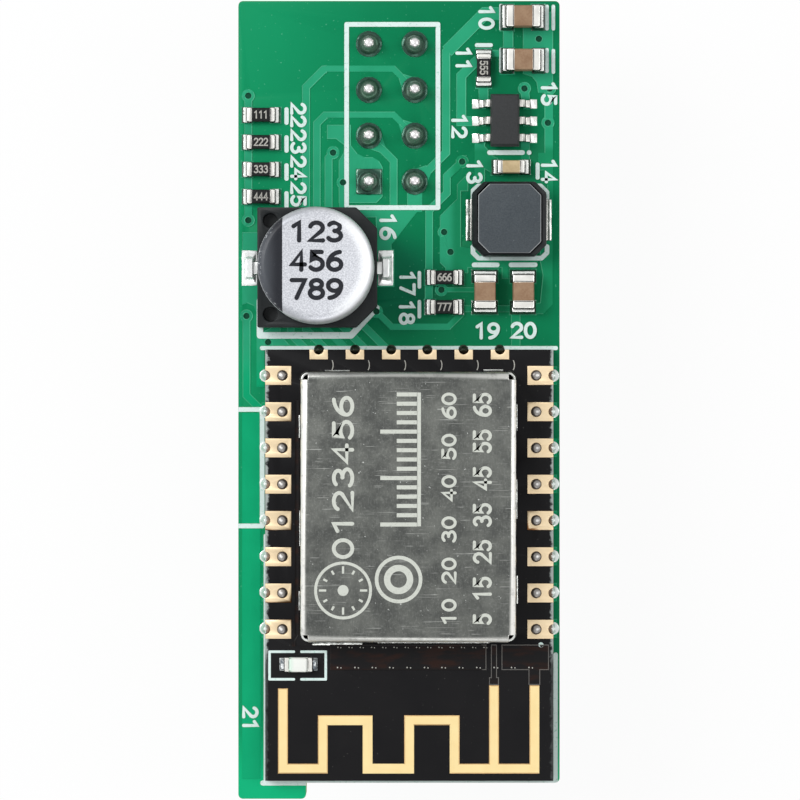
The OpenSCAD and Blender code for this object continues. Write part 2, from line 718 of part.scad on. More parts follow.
// Ceramic block of a chip part, between and inside its metal ends
module chip_body(part) {
    size = part[3];
    at_chip(part) translate([0, 0, solder_film + end_skin])
        chamfered_block(
            [size[0] - 2 * end_skin, size[1] - 2 * end_skin, size[2] - 2 * end_skin], 0.04);
}

// Metal ends of a chip part, each a cap over the ceramic block
module chip_ends(part) {
    size = part[3];
    difference() {
        at_chip(part) for (side = [-1, 1])
            translate([side * (size[0] - size[3]) / 2, 0, solder_film])
                chamfered_block([size[3], size[1], size[2]], 0.05);
        chip_body(part);
    }
}

module ceramic_body(part) color([0.63, 0.49, 0.38]) chip_body(part);
module resistor_body(part) color([0.13, 0.13, 0.14]) chip_body(part);
module metal_ends(part) color("silver") chip_ends(part);

// Solder at both ends of one chip part
module chip_joint(part) {
    size = part[3];
    pad = [(size[4] - size[0]) / 2 + size[3], size[5] - 0.04];
    at_chip(part) difference() {
        for (side = [-1, 1])
            translate([side * ((size[4] - pad.x) / 2 - 0.02), 0, 0])
                solder_mound(pad, [size[3] + 0.08, size[1] + 0.06], size[2] * 0.6);
        translate([0, 0, solder_film + 2]) cube([size[0], size[1], 4], center = true);
        translate([0, 0, solder_film + 2])
            cube([size[0] - 2 * size[3], size[5] + 1, 4], center = true);
    }
}

module chip_solder() {
    color("gainsboro") for (part = concat(CERAMICS, RESISTORS)) chip_joint(part);
}

// ---- Radio module ----

// Places one child at every side pad, turned so that +X points out of the board
module at_side_pads() {
    for (side = [-1, 1], y = SIDE_PAD_Y)
        translate([module_at.x + side * module_w / 2, y, 0]) rotate(side > 0 ? 0 : 180)
            children();
}

// Places one child at every end pad, turned the same way
module at_end_pads() {
    for (x = END_PAD_X) translate([x, module_far, 0]) rotate(90) children();
}

module module_board() {
    color([0.13, 0.13, 0.15]) difference() {
        translate([module_at.x - module_w / 2, module_at.y - module_l / 2, module_z])
            cube([module_w, module_l, module_t]);
        translate([0, 0, module_z - 1]) {
            at_side_pads() {
                cylinder(r = notch_r, h = module_t + 2, $fn = 24);
                translate([-side_hole_inset, 0, 0])
                    cylinder(d = side_hole_d, h = module_t + 2, $fn = 24);
            }
            at_end_pads() cylinder(r = notch_r, h = module_t + 2, $fn = 24);
        }
    }
}

// Half-round plated notch in the board's edge
module notch_plating() {
    linear_extrude(module_t + 2 * copper_t) difference() {
        intersection() {
            circle(r = notch_r, $fn = 24);
            translate([-1, -1]) square([1, 2]);
        }
        circle(r = notch_r - plating_t, $fn = 24);
    }
}

// One gold pad, on both faces of the board, with its notch
module plated_pad(length, width, hole) {
    for (z = [0, module_t + copper_t]) translate([0, 0, z])
        linear_extrude(copper_t) difference() {
            translate([-length, -width / 2]) square([length, width]);
            circle(r = notch_r, $fn = 24);
            if (hole) translate([-side_hole_inset, 0]) circle(d = side_hole_d, $fn = 24);
        }
    notch_plating();
    if (hole)
        translate([-side_hole_inset, 0, 0]) linear_extrude(module_t + 2 * copper_t)
            difference() {
                circle(d = side_hole_d, $fn = 24);
                circle(d = side_hole_d - 2 * plating_t, $fn = 24);
            }
}

module module_pads() {
    color("gold") translate([0, 0, pad_z]) {
        at_side_pads() plated_pad(side_pad.x, side_pad.y, true);
        at_end_pads() plated_pad(end_pad.y, end_pad.x, false);
    }
}

// Copper under the module's black coating: the antenna's feed between two ground areas, the
// ground leg's root and the status lamp's track
MODULE_TRACKS = [
    [0.33, [[5.64, -29.4], [5.64, -31.25]]],
    [0.54, [[5.64, -31.2], [5.64, -31.62]]],
    [0.64, [[7.87, -31.62], [7.87, -30.75]]],
    [1.4, [[-3.4, -30.1], [5.22, -30.1]]],
    [1.4, [[6.06, -30.1], [8.67, -30.1]]],
    [0.2, [[-5.24, -15.9], [-5.24, -28.85], [-5.42, -29.15], [-5.42, -29.5]]]];

module module_tracks() {
    color([0.2, 0.18, 0.19]) translate([0, 0, module_top]) linear_extrude(copper_t)
        for (track = MODULE_TRACKS) polygon(strip(track[1], track[0]));
}

// Printed lines round the status lamp and the dot at the module's first pad
module module_print() {
    hair = 0.02;
    width = 0.14;
    color("white") translate([0, 0, module_top]) linear_extrude(ink_t)
        offset(r = (width - hair) / 2, $fn = 12) {
            for (side = [-1, 1])
                translate(lamp_at + [-0.05, -0.07])
                    polygon(strip([
                        [side * 0.2, 0.76], [side * 1.55, 0.76], [side * 1.55, -0.76],
                        [side * 0.2, -0.76]], hair));
            translate([8.23, -29.41]) circle(r = 0.08, $fn = 16);
        }
}

module antenna() {
    color("gold") translate([0, 0, module_top]) linear_extrude(copper_t) {
        polygon(strip(ANTENNA, antenna_w));
        polygon(strip(ANTENNA_FEED, antenna_w));
    }
}

// Solder in each notch, up from the carrier board's pad, and domed in each side hole
module module_solder() {
    color("silver") {
        translate([0, 0, pad_z]) {
            at_side_pads() notch_fillet(0.14, 0.62);
            at_end_pads() notch_fillet(0.1, 0.3);
        }
        translate([0, 0, module_z]) at_side_pads() translate([-side_hole_inset, 0, 0])
            hole_fill();
        lamp_fillets();
    }
}

// Solder at the lamp's two ends
module lamp_fillets() {
    pad = [(LAMP[4] - LAMP[0]) / 2 + LAMP[3], LAMP[5]];
    translate([lamp_at.x, lamp_at.y, module_top]) difference() {
        for (side = [-1, 1])
            translate([side * (LAMP[4] - pad.x) / 2, 0, 0])
                solder_mound(pad, [LAMP[3] + 0.06, LAMP[1] * 0.6], LAMP[2] * 0.8);
        cube([LAMP[0], LAMP[1] + 1, 4], center = true);
    }
}

// Solder that fills the foot of one notch and spreads on the pad in front of it
module notch_fillet(reach, height) {
    bore_r = notch_r - plating_t;
    rotate(-90) rotate_extrude(angle = 180, $fn = 24)
        polygon(concat(
            [[0, 0]],
            [for (point = hollow(bore_r + reach - 0.1, height)) point + [0.1, 0]],
            [[0, height + 0.02]]));
    rotate(90) rotate_extrude(angle = 180, $fn = 24)
        polygon([[0, 0], [bore_r, 0], [bore_r, height * 0.8], [0.1, height], [0, height + 0.02]]);
}

module hole_fill() {
    bore_r = side_hole_d / 2 - plating_t;
    rotate_extrude($fn = 24)
        polygon(concat(
            [[0, 0], [bore_r, 0]],
            [for (i = [0 : 4]) let (u = i / 4)
                [bore_r * cos(90 * u), module_t + copper_t + 0.16 * sin(90 * u)]]));
}

// ---- Shield ----

module at_shield(z = 0) {
    translate([shield_at.x, shield_at.y, module_top + z]) children();
}

// Section of the folded sheet across one direction: two walls, two bends and the top
module shield_section(width) {
    half = width / 2;
    bend = shield_bend;
    polygon(concat(
        [[half, 0]], arc([half - bend, shield_h - bend], bend, 0, 90, 6),
        arc([bend - half, shield_h - bend], bend, 90, 180, 6),
        [[-half, 0], [shield_t - half, 0]],
        arc([bend - half, shield_h - bend], bend - shield_t, 180, 90, 6),
        arc([half - bend, shield_h - bend], bend - shield_t, 90, 0, 6),
        [[half - shield_t, 0]]));
}

// A sheet blank folded down on four sides, so that each corner is left open
module shield() {
    color([0.66, 0.66, 0.65]) at_shield() {
        rotate([90, 0, 0]) translate([0, 0, shield_corner - shield_l / 2])
            linear_extrude(shield_l - 2 * shield_corner) shield_section(shield_w);
        rotate([90, 0, 90]) translate([0, 0, shield_corner - shield_w / 2])
            linear_extrude(shield_w - 2 * shield_corner) shield_section(shield_l);
    }
}

// Solder fillets along the shield's walls: wall, offset along it, length, width
SHIELD_FILLETS = [
    [0, -4.6, 1.6, 0.2], [0, 0.4, 2.2, 0.16], [0, 4.9, 1.5, 0.18],
    [90, -4.7, 1.1, 0.2], [90, 3.9, 1.4, 0.16],
    [180, -4.4, 1.3, 0.18], [180, 1.2, 2, 0.16], [180, 5.2, 1.1, 0.22],
    [270, -3.9, 2.8, 0.32], [270, 1.4, 6.2, 0.2]];

// Solder where the shield meets the module board, and a bead up each open corner
module shield_solder() {
    half = [shield_w / 2, shield_l / 2];
    bead_r = shield_corner;
    color("gainsboro") at_shield() {
        for (fillet = SHIELD_FILLETS)
            rotate(fillet[0])
                translate([fillet[0] % 180 == 0 ? half.x : half.y, fillet[1], 0])
                    wall_fillet(fillet[2], fillet[3]);
        for (side = [-1, 1], end = [-1, 1])
            translate([side * (half.x - bead_r), end * (half.y - bead_r), 0])
                rotate(side > 0 ? (end > 0 ? 0 : 270) : (end > 0 ? 90 : 180))
                    rotate_extrude(angle = 90, $fn = 32)
                        polygon([
                            [bead_r - shield_t, 0], [bead_r + 0.12, 0], [bead_r, 0.2],
                            [bead_r, 1.15], [bead_r - shield_t, 1.15]]);
    }
}

module wall_fillet(length, width) {
    translate([0, length / 2, 0]) rotate([90, 0, 0]) linear_extrude(length)
        polygon(concat([[0, 0]], hollow(width, width * 1.3)));
}

// ---- Parts under the shield ----

module radio_chip() {
    color([0.16, 0.16, 0.17])
        translate([radio_chip_at.x, radio_chip_at.y, module_pad_z])
            chamfered_block([5, 5, 0.85], 0.05);
}

module flash_chip() {
    body = [3.9, 4.9, 1.45];
    color([0.16, 0.16, 0.17]) translate([flash_chip_at.x, flash_chip_at.y, module_pad_z]) {
        translate([0, 0, 0.15]) chamfered_block(body, 0.08);
        for (turn = [0, 180], row = [-1.5 : 1.5])
            rotate(turn) translate([0, row * 1.27 + 0.2, 0]) rotate([90, 0, 0])
                linear_extrude(0.4) polygon(strip([
                    [body.x / 2 - 0.1, 0.8], [body.x / 2 + 0.3, 0.8],
                    [body.x / 2 + 0.45, 0.1], [3, 0.1]], 0.2));
    }
}

module crystal() {
    color("silver") translate([crystal_at.x, crystal_at.y, module_pad_z])
        chamfered_block([3.2, 2.5, 0.75], 0.1);
}

// Small chip parts round the radio chip
module shielded_chips() {
    ring = 3.4;
    color("tan") translate([radio_chip_at.x, radio_chip_at.y, module_pad_z]) {
        for (x = [-2 : 1 : 2]) translate([x, -ring, 0])
            chamfered_block([0.5, 1, 0.5], 0.04);
        for (y = [-2 : 1 : 2]) translate([-ring, y, 0])
            chamfered_block([1, 0.5, 0.5], 0.04);
    }
}

// ---- Status lamp ----

function lamp_part() = ["lamp", lamp_at, 0, LAMP];

module at_lamp() {
    translate([0, 0, module_top - pad_z]) children();
}

// Clear resin block on its carrier, narrower than the metal ends
module lamp_lens() {
    color([0.9, 0.95, 0.85, 0.8]) at_lamp() difference() {
        translate([lamp_at.x, lamp_at.y, pad_z + 0.05])
            chamfered_block([LAMP[0] - 2 * LAMP[3] + 0.1, LAMP[1], LAMP[2] + 0.2], 0.08);
        metal_blank();
    }
}

module metal_blank() {
    at_chip(lamp_part()) for (side = [-1, 1])
        translate([side * (LAMP[0] - LAMP[3]) / 2, 0, 0])
            chamfered_block([LAMP[3], LAMP[1], LAMP[2]], 0.04);
}

module lamp_ends() {
    color("silver") at_lamp() metal_blank();
}

// ---- What each node draws ----

carrier_board();
carrier_copper();
carrier_print();
socket_housing();
socket_contacts();
header_solder();
capacitor_base();
capacitor_can();
polarity_mark();
capacitor_leads();
capacitor_solder();
regulator_body();
regulator_leads();
regulator_solder();
inductor_core();
inductor_winding();
inductor_resin();
inductor_terminals();
inductor_solder();
chip_solder();
for (part = CERAMICS) {
    ceramic_body(part);
    metal_ends(part);
}
for (part = RESISTORS) {
    resistor_body(part);
    metal_ends(part);
}
module_board();
module_pads();
module_tracks();
module_print();
antenna();
module_solder();
shield();
shield_solder();
radio_chip();
flash_chip();
crystal();
shielded_chips();
lamp_lens();
lamp_ends();
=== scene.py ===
import math

import bmesh
import bpy
from mathutils import Matrix, Vector, noise


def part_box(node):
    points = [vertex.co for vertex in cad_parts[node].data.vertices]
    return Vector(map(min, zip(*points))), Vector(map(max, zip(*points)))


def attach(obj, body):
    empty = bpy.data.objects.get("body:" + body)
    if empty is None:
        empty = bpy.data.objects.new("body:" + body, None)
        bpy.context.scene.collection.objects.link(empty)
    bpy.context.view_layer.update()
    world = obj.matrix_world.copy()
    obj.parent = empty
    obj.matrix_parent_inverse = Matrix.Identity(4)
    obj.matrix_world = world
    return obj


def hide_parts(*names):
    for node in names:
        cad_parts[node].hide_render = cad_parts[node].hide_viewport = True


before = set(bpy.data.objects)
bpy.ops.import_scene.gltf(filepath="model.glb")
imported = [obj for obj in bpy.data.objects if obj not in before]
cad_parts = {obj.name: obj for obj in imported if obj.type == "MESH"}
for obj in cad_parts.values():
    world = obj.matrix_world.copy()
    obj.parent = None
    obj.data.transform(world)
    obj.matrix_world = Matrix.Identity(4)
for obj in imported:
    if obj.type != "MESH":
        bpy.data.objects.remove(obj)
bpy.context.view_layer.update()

# Lengths below are in millimetres, as on a drawing of the card. MM turns them into metres.
MM = 0.001

PIN_PITCH = 2.54
CAN_X, CAN_Y = -4.1, -8.6
# The radio module's centre line, its row of side pads, and how far out their holes lie
MODULE_X = 0.97
FIRST_PAD_Y = -14.55
PAD_PITCH = 2.0
PAD_HOLE_OUT = 7.05
RESTING_GAP = 0.02


# ---- Shader maths ----


class Signal:
    """A value or colour that varies over a finish. Arithmetic on it adds Math nodes."""

    def __init__(self, wiring, socket):
        self.wiring = wiring
        self.socket = socket

    def math(self, operation, *values):
        sockets = dict(enumerate(values))
        return self.wiring.node("ShaderNodeMath", {"operation": operation}, sockets)

    def __add__(self, other):
        return self.math("ADD", self, other)

    __radd__ = __add__

    def __mul__(self, other):
        return self.math("MULTIPLY", self, other)

    __rmul__ = __mul__

    def __sub__(self, other):
        return self.math("SUBTRACT", self, other)

    def __rsub__(self, other):
        return self.math("SUBTRACT", other, self)

    def __abs__(self):
        return self.math("ABSOLUTE", self)

    def over(self, other):
        """The larger of two signals."""
        return self.math("MAXIMUM", self, other)

    def reach(self, other):
        """The length of the diagonal of two distances."""
        return self.math("SQRT", self * self + other * other)

    def from_nearest(self, first, pitch):
        """The distance from the nearest of a row of places, pitch apart."""
        return self.math("PINGPONG", self - first, pitch / 2)


class Wiring:
    """A node tree, with one way to add a node."""

    def __init__(self, tree):
        self.tree = tree

    def node(self, kind, settings, sockets, output=0):
        node = self.tree.nodes.new(kind)
        for name, value in settings.items():
            setattr(node, name, value)
        for name, value in sockets.items():
            self.feed(node.inputs[name], value)
        return Signal(self, node.outputs[output])

    def feed(self, socket, value):
        if isinstance(value, Signal):
            self.tree.links.new(value.socket, socket)
        else:
            socket.default_value = value


def srgb(red, green, blue):
    """A colour from its everyday 0 to 255 values."""
    def linear(level):
        level /= 255
        return level / 12.92 if level <= 0.04045 else ((level + 0.055) / 1.055) ** 2.4
    return (linear(red), linear(green), linear(blue), 1)


class Finish(Wiring):
    """A procedural surface finish, measured in millimetres."""

    def __init__(self, name, colour, roughness, metallic=0.0, specular=0.3):
        self.material = bpy.data.materials.new(name)
        self.material.use_nodes = True
        super().__init__(self.material.node_tree)
        self.surface = self.tree.nodes["Principled BSDF"]
        self.surface.inputs["Specular IOR Level"].default_value = specular
        self.paint(colour)
        self.drive("Roughness", roughness)
        self.drive("Metallic", metallic)
        metres = self.node("ShaderNodeTexCoord", {}, {}, "Object")
        self.place = self.node(
            "ShaderNodeVectorMath", {"operation": "SCALE"}, {"Vector": metres, "Scale": 1 / MM}
        )
        facing = self.node("ShaderNodeNewGeometry", {}, {}, "Normal")
        self.x, self.y, self.z = self.parts(self.place)
        self.nx, self.ny, self.nz = self.parts(facing)

    def parts(self, vector):
        return [
            self.node("ShaderNodeSeparateXYZ", {}, {"Vector": vector}, axis) for axis in "XYZ"
        ]

    def drive(self, socket, value):
        self.feed(self.surface.inputs[socket], value)

    def paint(self, colour):
        self.drive("Base Color", colour)

    def mix(self, amount, first, second):
        sockets = {0: amount, 6: first, 7: second}
        return self.node("ShaderNodeMix", {"data_type": "RGBA"}, sockets, 2)

    def fade(self, signal, low, high):
        """0 below low and 1 above high, with a smooth change between. High may be the lower."""
        sockets = {"Value": signal, "From Min": low, "From Max": high}
        return self.node("ShaderNodeMapRange", {"interpolation_type": "SMOOTHSTEP"}, sockets)

    def grain(self, scale, detail=2.0, roughness=0.5, stretch=(1, 1, 1), turn=0.0):
        """Cloudy noise from 0 to 1, with scale blobs to the millimetre."""
        vector = self.node(
            "ShaderNodeMapping",
            {},
            {"Vector": self.place, "Rotation": (0, 0, turn), "Scale": stretch},
        )
        sockets = {"Vector": vector, "Scale": scale, "Detail": detail, "Roughness": roughness}
        return self.node("ShaderNodeTexNoise", {}, sockets, 0)

    def dents(self, height, depth):
        """Relief from a 0 to 1 signal, depth millimetres from low to high."""
        sockets = {"Height": height, "Strength": 1.0, "Distance": depth * MM}
        self.drive("Normal", self.node("ShaderNodeBump", {}, sockets))


# ---- Finishes ----


def carrier_laminate():
    finish = Finish("carrier laminate", srgb(14, 122, 82), 0.34, specular=0.06)
    clouds = finish.grain(0.35, 3)
    # painted light: the coating is painted lighter towards the left of the card
    lit_west = finish.fade(finish.x, 3, -8)
    mask = finish.mix(lit_west * 0.75 + clouds * 0.25, srgb(8, 116, 74), srgb(20, 148, 98))
    tab = finish.fade(finish.y, -33, -37.2)
    mask = finish.mix(tab, mask, srgb(20, 178, 122))
    # painted shadow: the coating darkens beside the can's right side, partly a painted shadow of
    # the can and partly laminate with no copper below
    can_shadow_and_bare = finish.fade((finish.x - 0.2).reach(finish.y + 9.4), 3.4, 1.2)
    mask = finish.mix(can_shadow_and_bare * 0.6, mask, srgb(8, 84, 62))
    dust = finish.fade(finish.grain(7, 2), 0.7, 0.78)
    mask = finish.mix(dust * 0.5, mask, srgb(110, 200, 165))
    plies = finish.grain(1.2, 2, stretch=(1, 1, 14))
    cut_edge = finish.mix(plies, srgb(120, 150, 88), srgb(176, 196, 132))
    face = finish.fade(abs(finish.nz), 0.55, 0.8)
    finish.paint(finish.mix(face, cut_edge, mask))
    finish.drive("Roughness", 0.62 - face * 0.28)
    weave = finish.grain(1.6, 1, stretch=(6, 0.8, 1)) + finish.grain(1.6, 1, stretch=(0.8, 6, 1))
    finish.dents(weave * 0.5, 0.004)
    return finish


def coated_copper():
    """Copper below the green coating, with a painted highlight on its flanks where the coating
    runs down them.
    """
    finish = Finish("coated copper", srgb(40, 168, 120), 0.32, specular=0.06)
    clouds = finish.grain(0.6, 3)
    flat = finish.mix(clouds, srgb(36, 150, 106), srgb(52, 170, 128))
    broad = finish.fade(finish.x, 3.1, 3.6) * finish.fade(finish.y, -1.7, -2.2)
    flat = finish.mix(broad, flat, finish.mix(clouds, srgb(20, 130, 86), srgb(32, 146, 100)))
    strip = finish.fade(finish.y, -12.5, -15)
    flat = finish.mix(strip, flat, finish.mix(clouds, srgb(12, 156, 106), srgb(20, 172, 118)))
    # painted highlight: the flanks are painted pale mint
    flank = finish.fade(finish.nz, 0.97, 0.8)
    finish.paint(finish.mix(flank * 0.8, flat, srgb(128, 222, 184)))
    finish.dents(finish.grain(2.5, 3), 0.004)
    return finish


def white_ink():
    finish = Finish("white ink", srgb(220, 237, 233), 0.6, specular=0.15)
    thin = finish.fade(finish.grain(6, 3, 0.65), 0.55, 0.72)
    finish.paint(finish.mix(thin * 0.55, srgb(222, 239, 235), srgb(128, 196, 170)))
    finish.dents(finish.grain(9, 2), 0.006)
    return finish


def dull_ink():
    finish = Finish("dull ink", srgb(186, 184, 176), 0.6, specular=0.15)
    finish.paint(finish.mix(finish.grain(9, 3, 0.7), srgb(150, 148, 142), srgb(206, 204, 196)))
    finish.dents(finish.grain(12, 2), 0.004)
    return finish


def via_plug():
    """Coating that has sunk into a via."""
    finish = Finish("via plug", srgb(12, 66, 48), 0.4, specular=0.1)
    finish.paint(finish.mix(finish.grain(6, 2), srgb(8, 52, 38), srgb(18, 84, 60)))
    finish.dents(finish.grain(5, 2), 0.02)
    return finish


def black_moulding():
    finish = Finish("black moulding", srgb(34, 36, 37), 0.45, specular=0.16)
    finish.paint(finish.mix(finish.grain(1.4, 4), srgb(26, 28, 29), srgb(44, 47, 48)))
    finish.dents(finish.grain(14, 2), 0.004)
    return finish


def gold(name, flat, dark, flank):
    """Gold plate, with the coating's warm rim where the plate's edge turns down."""
    finish = Finish(name, flat, 0.3, metallic=0.5, specular=0.3)
    tone = finish.mix(finish.grain(1.1, 3), dark, flat)
    rim = finish.fade(finish.nz, 0.985, 0.85)
    finish.paint(finish.mix(rim, tone, flank))
    finish.drive("Roughness", 0.3 + finish.grain(3, 2) * 0.18)
    finish.dents(finish.grain(12, 2), 0.003)
    return finish


def contact_gold():
    """Gilt contacts whose tails were tinned when they were soldered."""
    finish = Finish("contact gold", srgb(236, 190, 110), 0.28, metallic=0.9)
    gilt = finish.mix(finish.grain(1.4, 3), srgb(222, 170, 90), srgb(240, 196, 120))
    finish.paint(finish.mix(finish.fade(finish.z, 9.6, 10), gilt, srgb(214, 210, 206)))
    finish.dents(finish.grain(8, 2), 0.004)
    return finish


def tin_plate():
    """Plain tin: pale on top, with painted shade where it turns down to the solder."""
    finish = Finish("tin plate", srgb(226, 225, 220), 0.34, metallic=0.75)
    cloudy = finish.grain(2.2, 3, 0.5)
    top = finish.mix(cloudy, srgb(206, 205, 199), srgb(238, 237, 232))
    # painted shade: faces that turn down are painted dark
    turned = finish.fade(finish.nz, 0.9, 0.3)
    finish.paint(finish.mix(turned, top, srgb(70, 70, 68)))
    finish.drive("Roughness", 0.28 + cloudy * 0.16)
    finish.dents(finish.grain(7, 3), 0.006)
    return finish


def solder():
    """Solder fillets: painted grey shade on their slopes, with painted bright highlights where
    they level out.
    """
    finish = Finish("solder", srgb(170, 172, 168), 0.26, metallic=0.8)
    ripple = finish.grain(3.2, 3, 0.6) - 0.5
    # painted shade and highlight: steep faces are painted dark grey and level faces near white
    lean = finish.nz + ripple * 0.7
    slope_shade = finish.mix(finish.fade(lean, 0.1, 0.55), srgb(46, 48, 46), srgb(120, 122, 118))
    finish.paint(finish.mix(finish.fade(lean, 0.6, 0.98), slope_shade, srgb(226, 228, 224)))
    finish.drive("Roughness", 0.2 + finish.grain(4, 2) * 0.16)
    finish.dents(finish.grain(5, 3), 0.02)
    return finish


def header_solder():
    """A joint round each contact: a cone painted dark green-grey outwards as a painted reflection
    of the board, a painted highlight at the tip, and thin painted rings of light where the solder
    set in ripples."""
    finish = Finish("header solder", srgb(120, 136, 126), 0.24, metallic=0.6)
    across = abs(abs(finish.x) - PIN_PITCH / 2)
    along = finish.y.from_nearest(PIN_PITCH / 2, PIN_PITCH)
    out = across.reach(along) + (finish.grain(1.3, 3, 0.6) - 0.5) * 0.28
    # painted reflection and shade: the cone is painted from pale grey in the middle to dark green
    # outwards, standing for the board reflected in it
    cone = finish.mix(finish.fade(out, 0.28, 0.62), srgb(150, 158, 152), srgb(44, 74, 62))
    cone = finish.mix(finish.fade(out, 0.66, 0.9), cone, srgb(84, 124, 106))
    # painted highlights: thin rings of light
    for ring, width in ((0.42, 0.05), (0.88, 0.06)):
        lit = finish.fade(abs(out - ring), width, 0) * finish.fade(finish.grain(1.5, 1), 0.42, 0.6)
        cone = finish.mix(lit * 0.75, cone, srgb(206, 216, 210))
    # painted highlight at the tip
    tip = finish.fade(across.reach(along), 0.27, 0.16)
    finish.paint(finish.mix(tip, cone, srgb(224, 222, 222)))
    finish.dents(finish.grain(3, 3), 0.03)
    return finish


def module_solder():
    """Domes in the pads' holes with painted shade round them and a painted highlight in their
    middles, pale crescents in the side notches streaked with a painted reflection of the board,
    and dark ones at the end.
    """
    finish = Finish("module solder", srgb(200, 200, 196), 0.3, metallic=0.45)
    sideways = abs(finish.x - MODULE_X)
    along = finish.y.from_nearest(FIRST_PAD_Y, PAD_PITCH)
    out = (sideways - PAD_HOLE_OUT).reach(along) + (finish.grain(3, 2) - 0.5) * 0.06
    # painted shade and highlight: each dome is painted dark at its rim, mid grey inside and near
    # white in its middle
    dome = finish.mix(finish.fade(out, 0.26, 0.15), srgb(72, 66, 62), srgb(150, 146, 142))
    dome = finish.mix(finish.fade(out, 0.11, 0.03), dome, srgb(236, 235, 232))
    # painted reflection: green-grey streaks in the notch solder stand for the board reflected in
    # it
    streak = finish.fade(finish.grain(3.4, 3, 0.6), 0.62, 0.7)
    notch = finish.mix(streak * 0.6, srgb(226, 233, 229), srgb(96, 130, 116))
    tone = finish.mix(finish.fade(sideways, 7.45, 7.55), dome, notch)
    end_row = finish.fade(finish.y, -14.1, -13.9)
    tone = finish.mix(end_row, tone, srgb(44, 48, 38))
    patches = finish.fade(finish.grain(4, 3, 0.6), 0.4, 0.6)
    lamp = finish.mix(patches, srgb(96, 104, 112), srgb(236, 240, 240))
    finish.paint(finish.mix(finish.fade(finish.y, -29.3, -29.6), tone, lamp))
    finish.dents(finish.grain(5, 3), 0.015)
    return finish


def flooded_solder():
    """Broad bright solder that covers the storage capacitor's leads, with painted shade, broken up
    by noise, in the corners beside the can's base.
    """
    finish = Finish("flooded solder", srgb(240, 242, 240), 0.26, metallic=0.5)
    # painted shade: the pads' corners beside the can's base are painted dark, broken up by noise
    thin = finish.fade(abs(finish.x - CAN_X), 3.75, 3.4)
    corner_mottle = finish.fade(finish.grain(3.5, 4, 0.7), 0.35, 0.6)
    edge = finish.mix(corner_mottle, srgb(36, 44, 42), srgb(168, 174, 172))
    base_corners = finish.fade(abs(finish.y - CAN_Y), 0.75, 1.1) * thin
    finish.paint(finish.mix(base_corners, srgb(244, 246, 245), edge))
    finish.dents(finish.grain(3, 3), 0.02)
    return finish


def can_aluminium():
    finish = Finish("can aluminium", srgb(214, 215, 218), 0.42, metallic=0.55)
    east = finish.x - CAN_X
    out = east.reach(finish.y - CAN_Y)
    fleck = finish.fade(finish.grain(12, 3, 0.75), 0.36, 0.64)
    top = finish.mix(fleck, srgb(180, 182, 189), srgb(216, 218, 223))
    # painted highlight: a bright crescent on the right of the top's rim
    glare = finish.fade(out, 2.2, 2.75) * finish.fade(east, 0.4, 2.2)
    top = finish.mix(glare * 0.85, top, srgb(246, 248, 250))
    # painted shade: the left of the rim is painted darker
    rim_shade = finish.fade(out, 2.5, 3.05) * finish.fade(east, 0.6, -1.2)
    top = finish.mix(rim_shade * 0.6, top, srgb(132, 136, 142))
    drawn = finish.grain(3, 3, stretch=(1, 1, 0.2))
    side = finish.mix(drawn, srgb(150, 153, 158), srgb(196, 198, 202))
    # painted light: the sides are painted lighter where they face the right
    lit = finish.fade(finish.nx, -0.2, 0.7)
    side = finish.mix(lit * 0.7, side, srgb(226, 228, 230))
    face = finish.fade(finish.nz, 0.6, 0.95)
    finish.paint(finish.mix(face, side, top))
    finish.drive("Roughness", 0.36 + fleck * 0.12)
    finish.dents(finish.grain(18, 2), 0.004)
    return finish


def black_ink():
    finish = Finish("black ink", srgb(38, 40, 45), 0.34, specular=0.2)
    rub_and_glint = finish.fade(finish.grain(11, 3, 0.7), 0.62, 0.78)
    ink = finish.mix(rub_and_glint * 0.45, srgb(34, 36, 42), srgb(112, 116, 122))
    # painted reflection: the ink is painted lighter towards the left, where it runs over the can's
    # shoulder
    lit_west = finish.fade(finish.x, -6.1, -7.0)
    ink = finish.mix(lit_west * 0.6, ink, srgb(96, 100, 106))
    turned = finish.fade(finish.nz, 0.95, 0.5)
    spots = finish.fade(finish.grain(5, 3, 0.7), 0.58, 0.68)
    finish.paint(finish.mix(turned * spots, ink, srgb(214, 217, 220)))
    finish.dents(finish.grain(12, 2), 0.004)
    return finish


def moulded_case():
    finish = Finish("moulded case", srgb(58, 59, 60), 0.6, specular=0.1)
    finish.paint(finish.mix(finish.grain(12, 3, 0.7), srgb(48, 49, 50), srgb(68, 69, 70)))
    finish.dents(finish.grain(18, 2), 0.008)
    return finish


def ferrite():
    finish = Finish("ferrite", srgb(74, 80, 84), 0.5, specular=0.1)
    cloud = finish.grain(1.2, 3)
    pores = finish.fade(finish.grain(12, 3, 0.7), 0.35, 0.65)
    top = finish.mix(pores * 0.5 + cloud * 0.5, srgb(64, 70, 75), srgb(84, 90, 94))
    chips = finish.fade(finish.grain(5, 2, 0.5), 0.73, 0.78)
    top = finish.mix(chips * 0.7, top, srgb(130, 134, 136))
    # painted highlight: the eased edges of the flange are painted pale, most on the sides that
    # face left and right
    rub_and_glint = finish.fade(finish.nz, 0.99, 0.8) * finish.fade(finish.nz, 0.1, 0.3)
    sideways = finish.fade(abs(finish.nx), 0.05, 0.4) * 0.6 + 0.3
    finish.paint(finish.mix(rub_and_glint * sideways, top, srgb(186, 188, 190)))
    finish.dents(pores, 0.005)
    return finish


def magnetic_resin():
    finish = Finish("magnetic resin", srgb(30, 32, 34), 0.45, specular=0.14)
    finish.paint(finish.mix(finish.grain(4, 4, 0.6), srgb(20, 22, 24), srgb(44, 46, 48)))
    finish.dents(finish.grain(3, 4, 0.6), 0.03)
    return finish


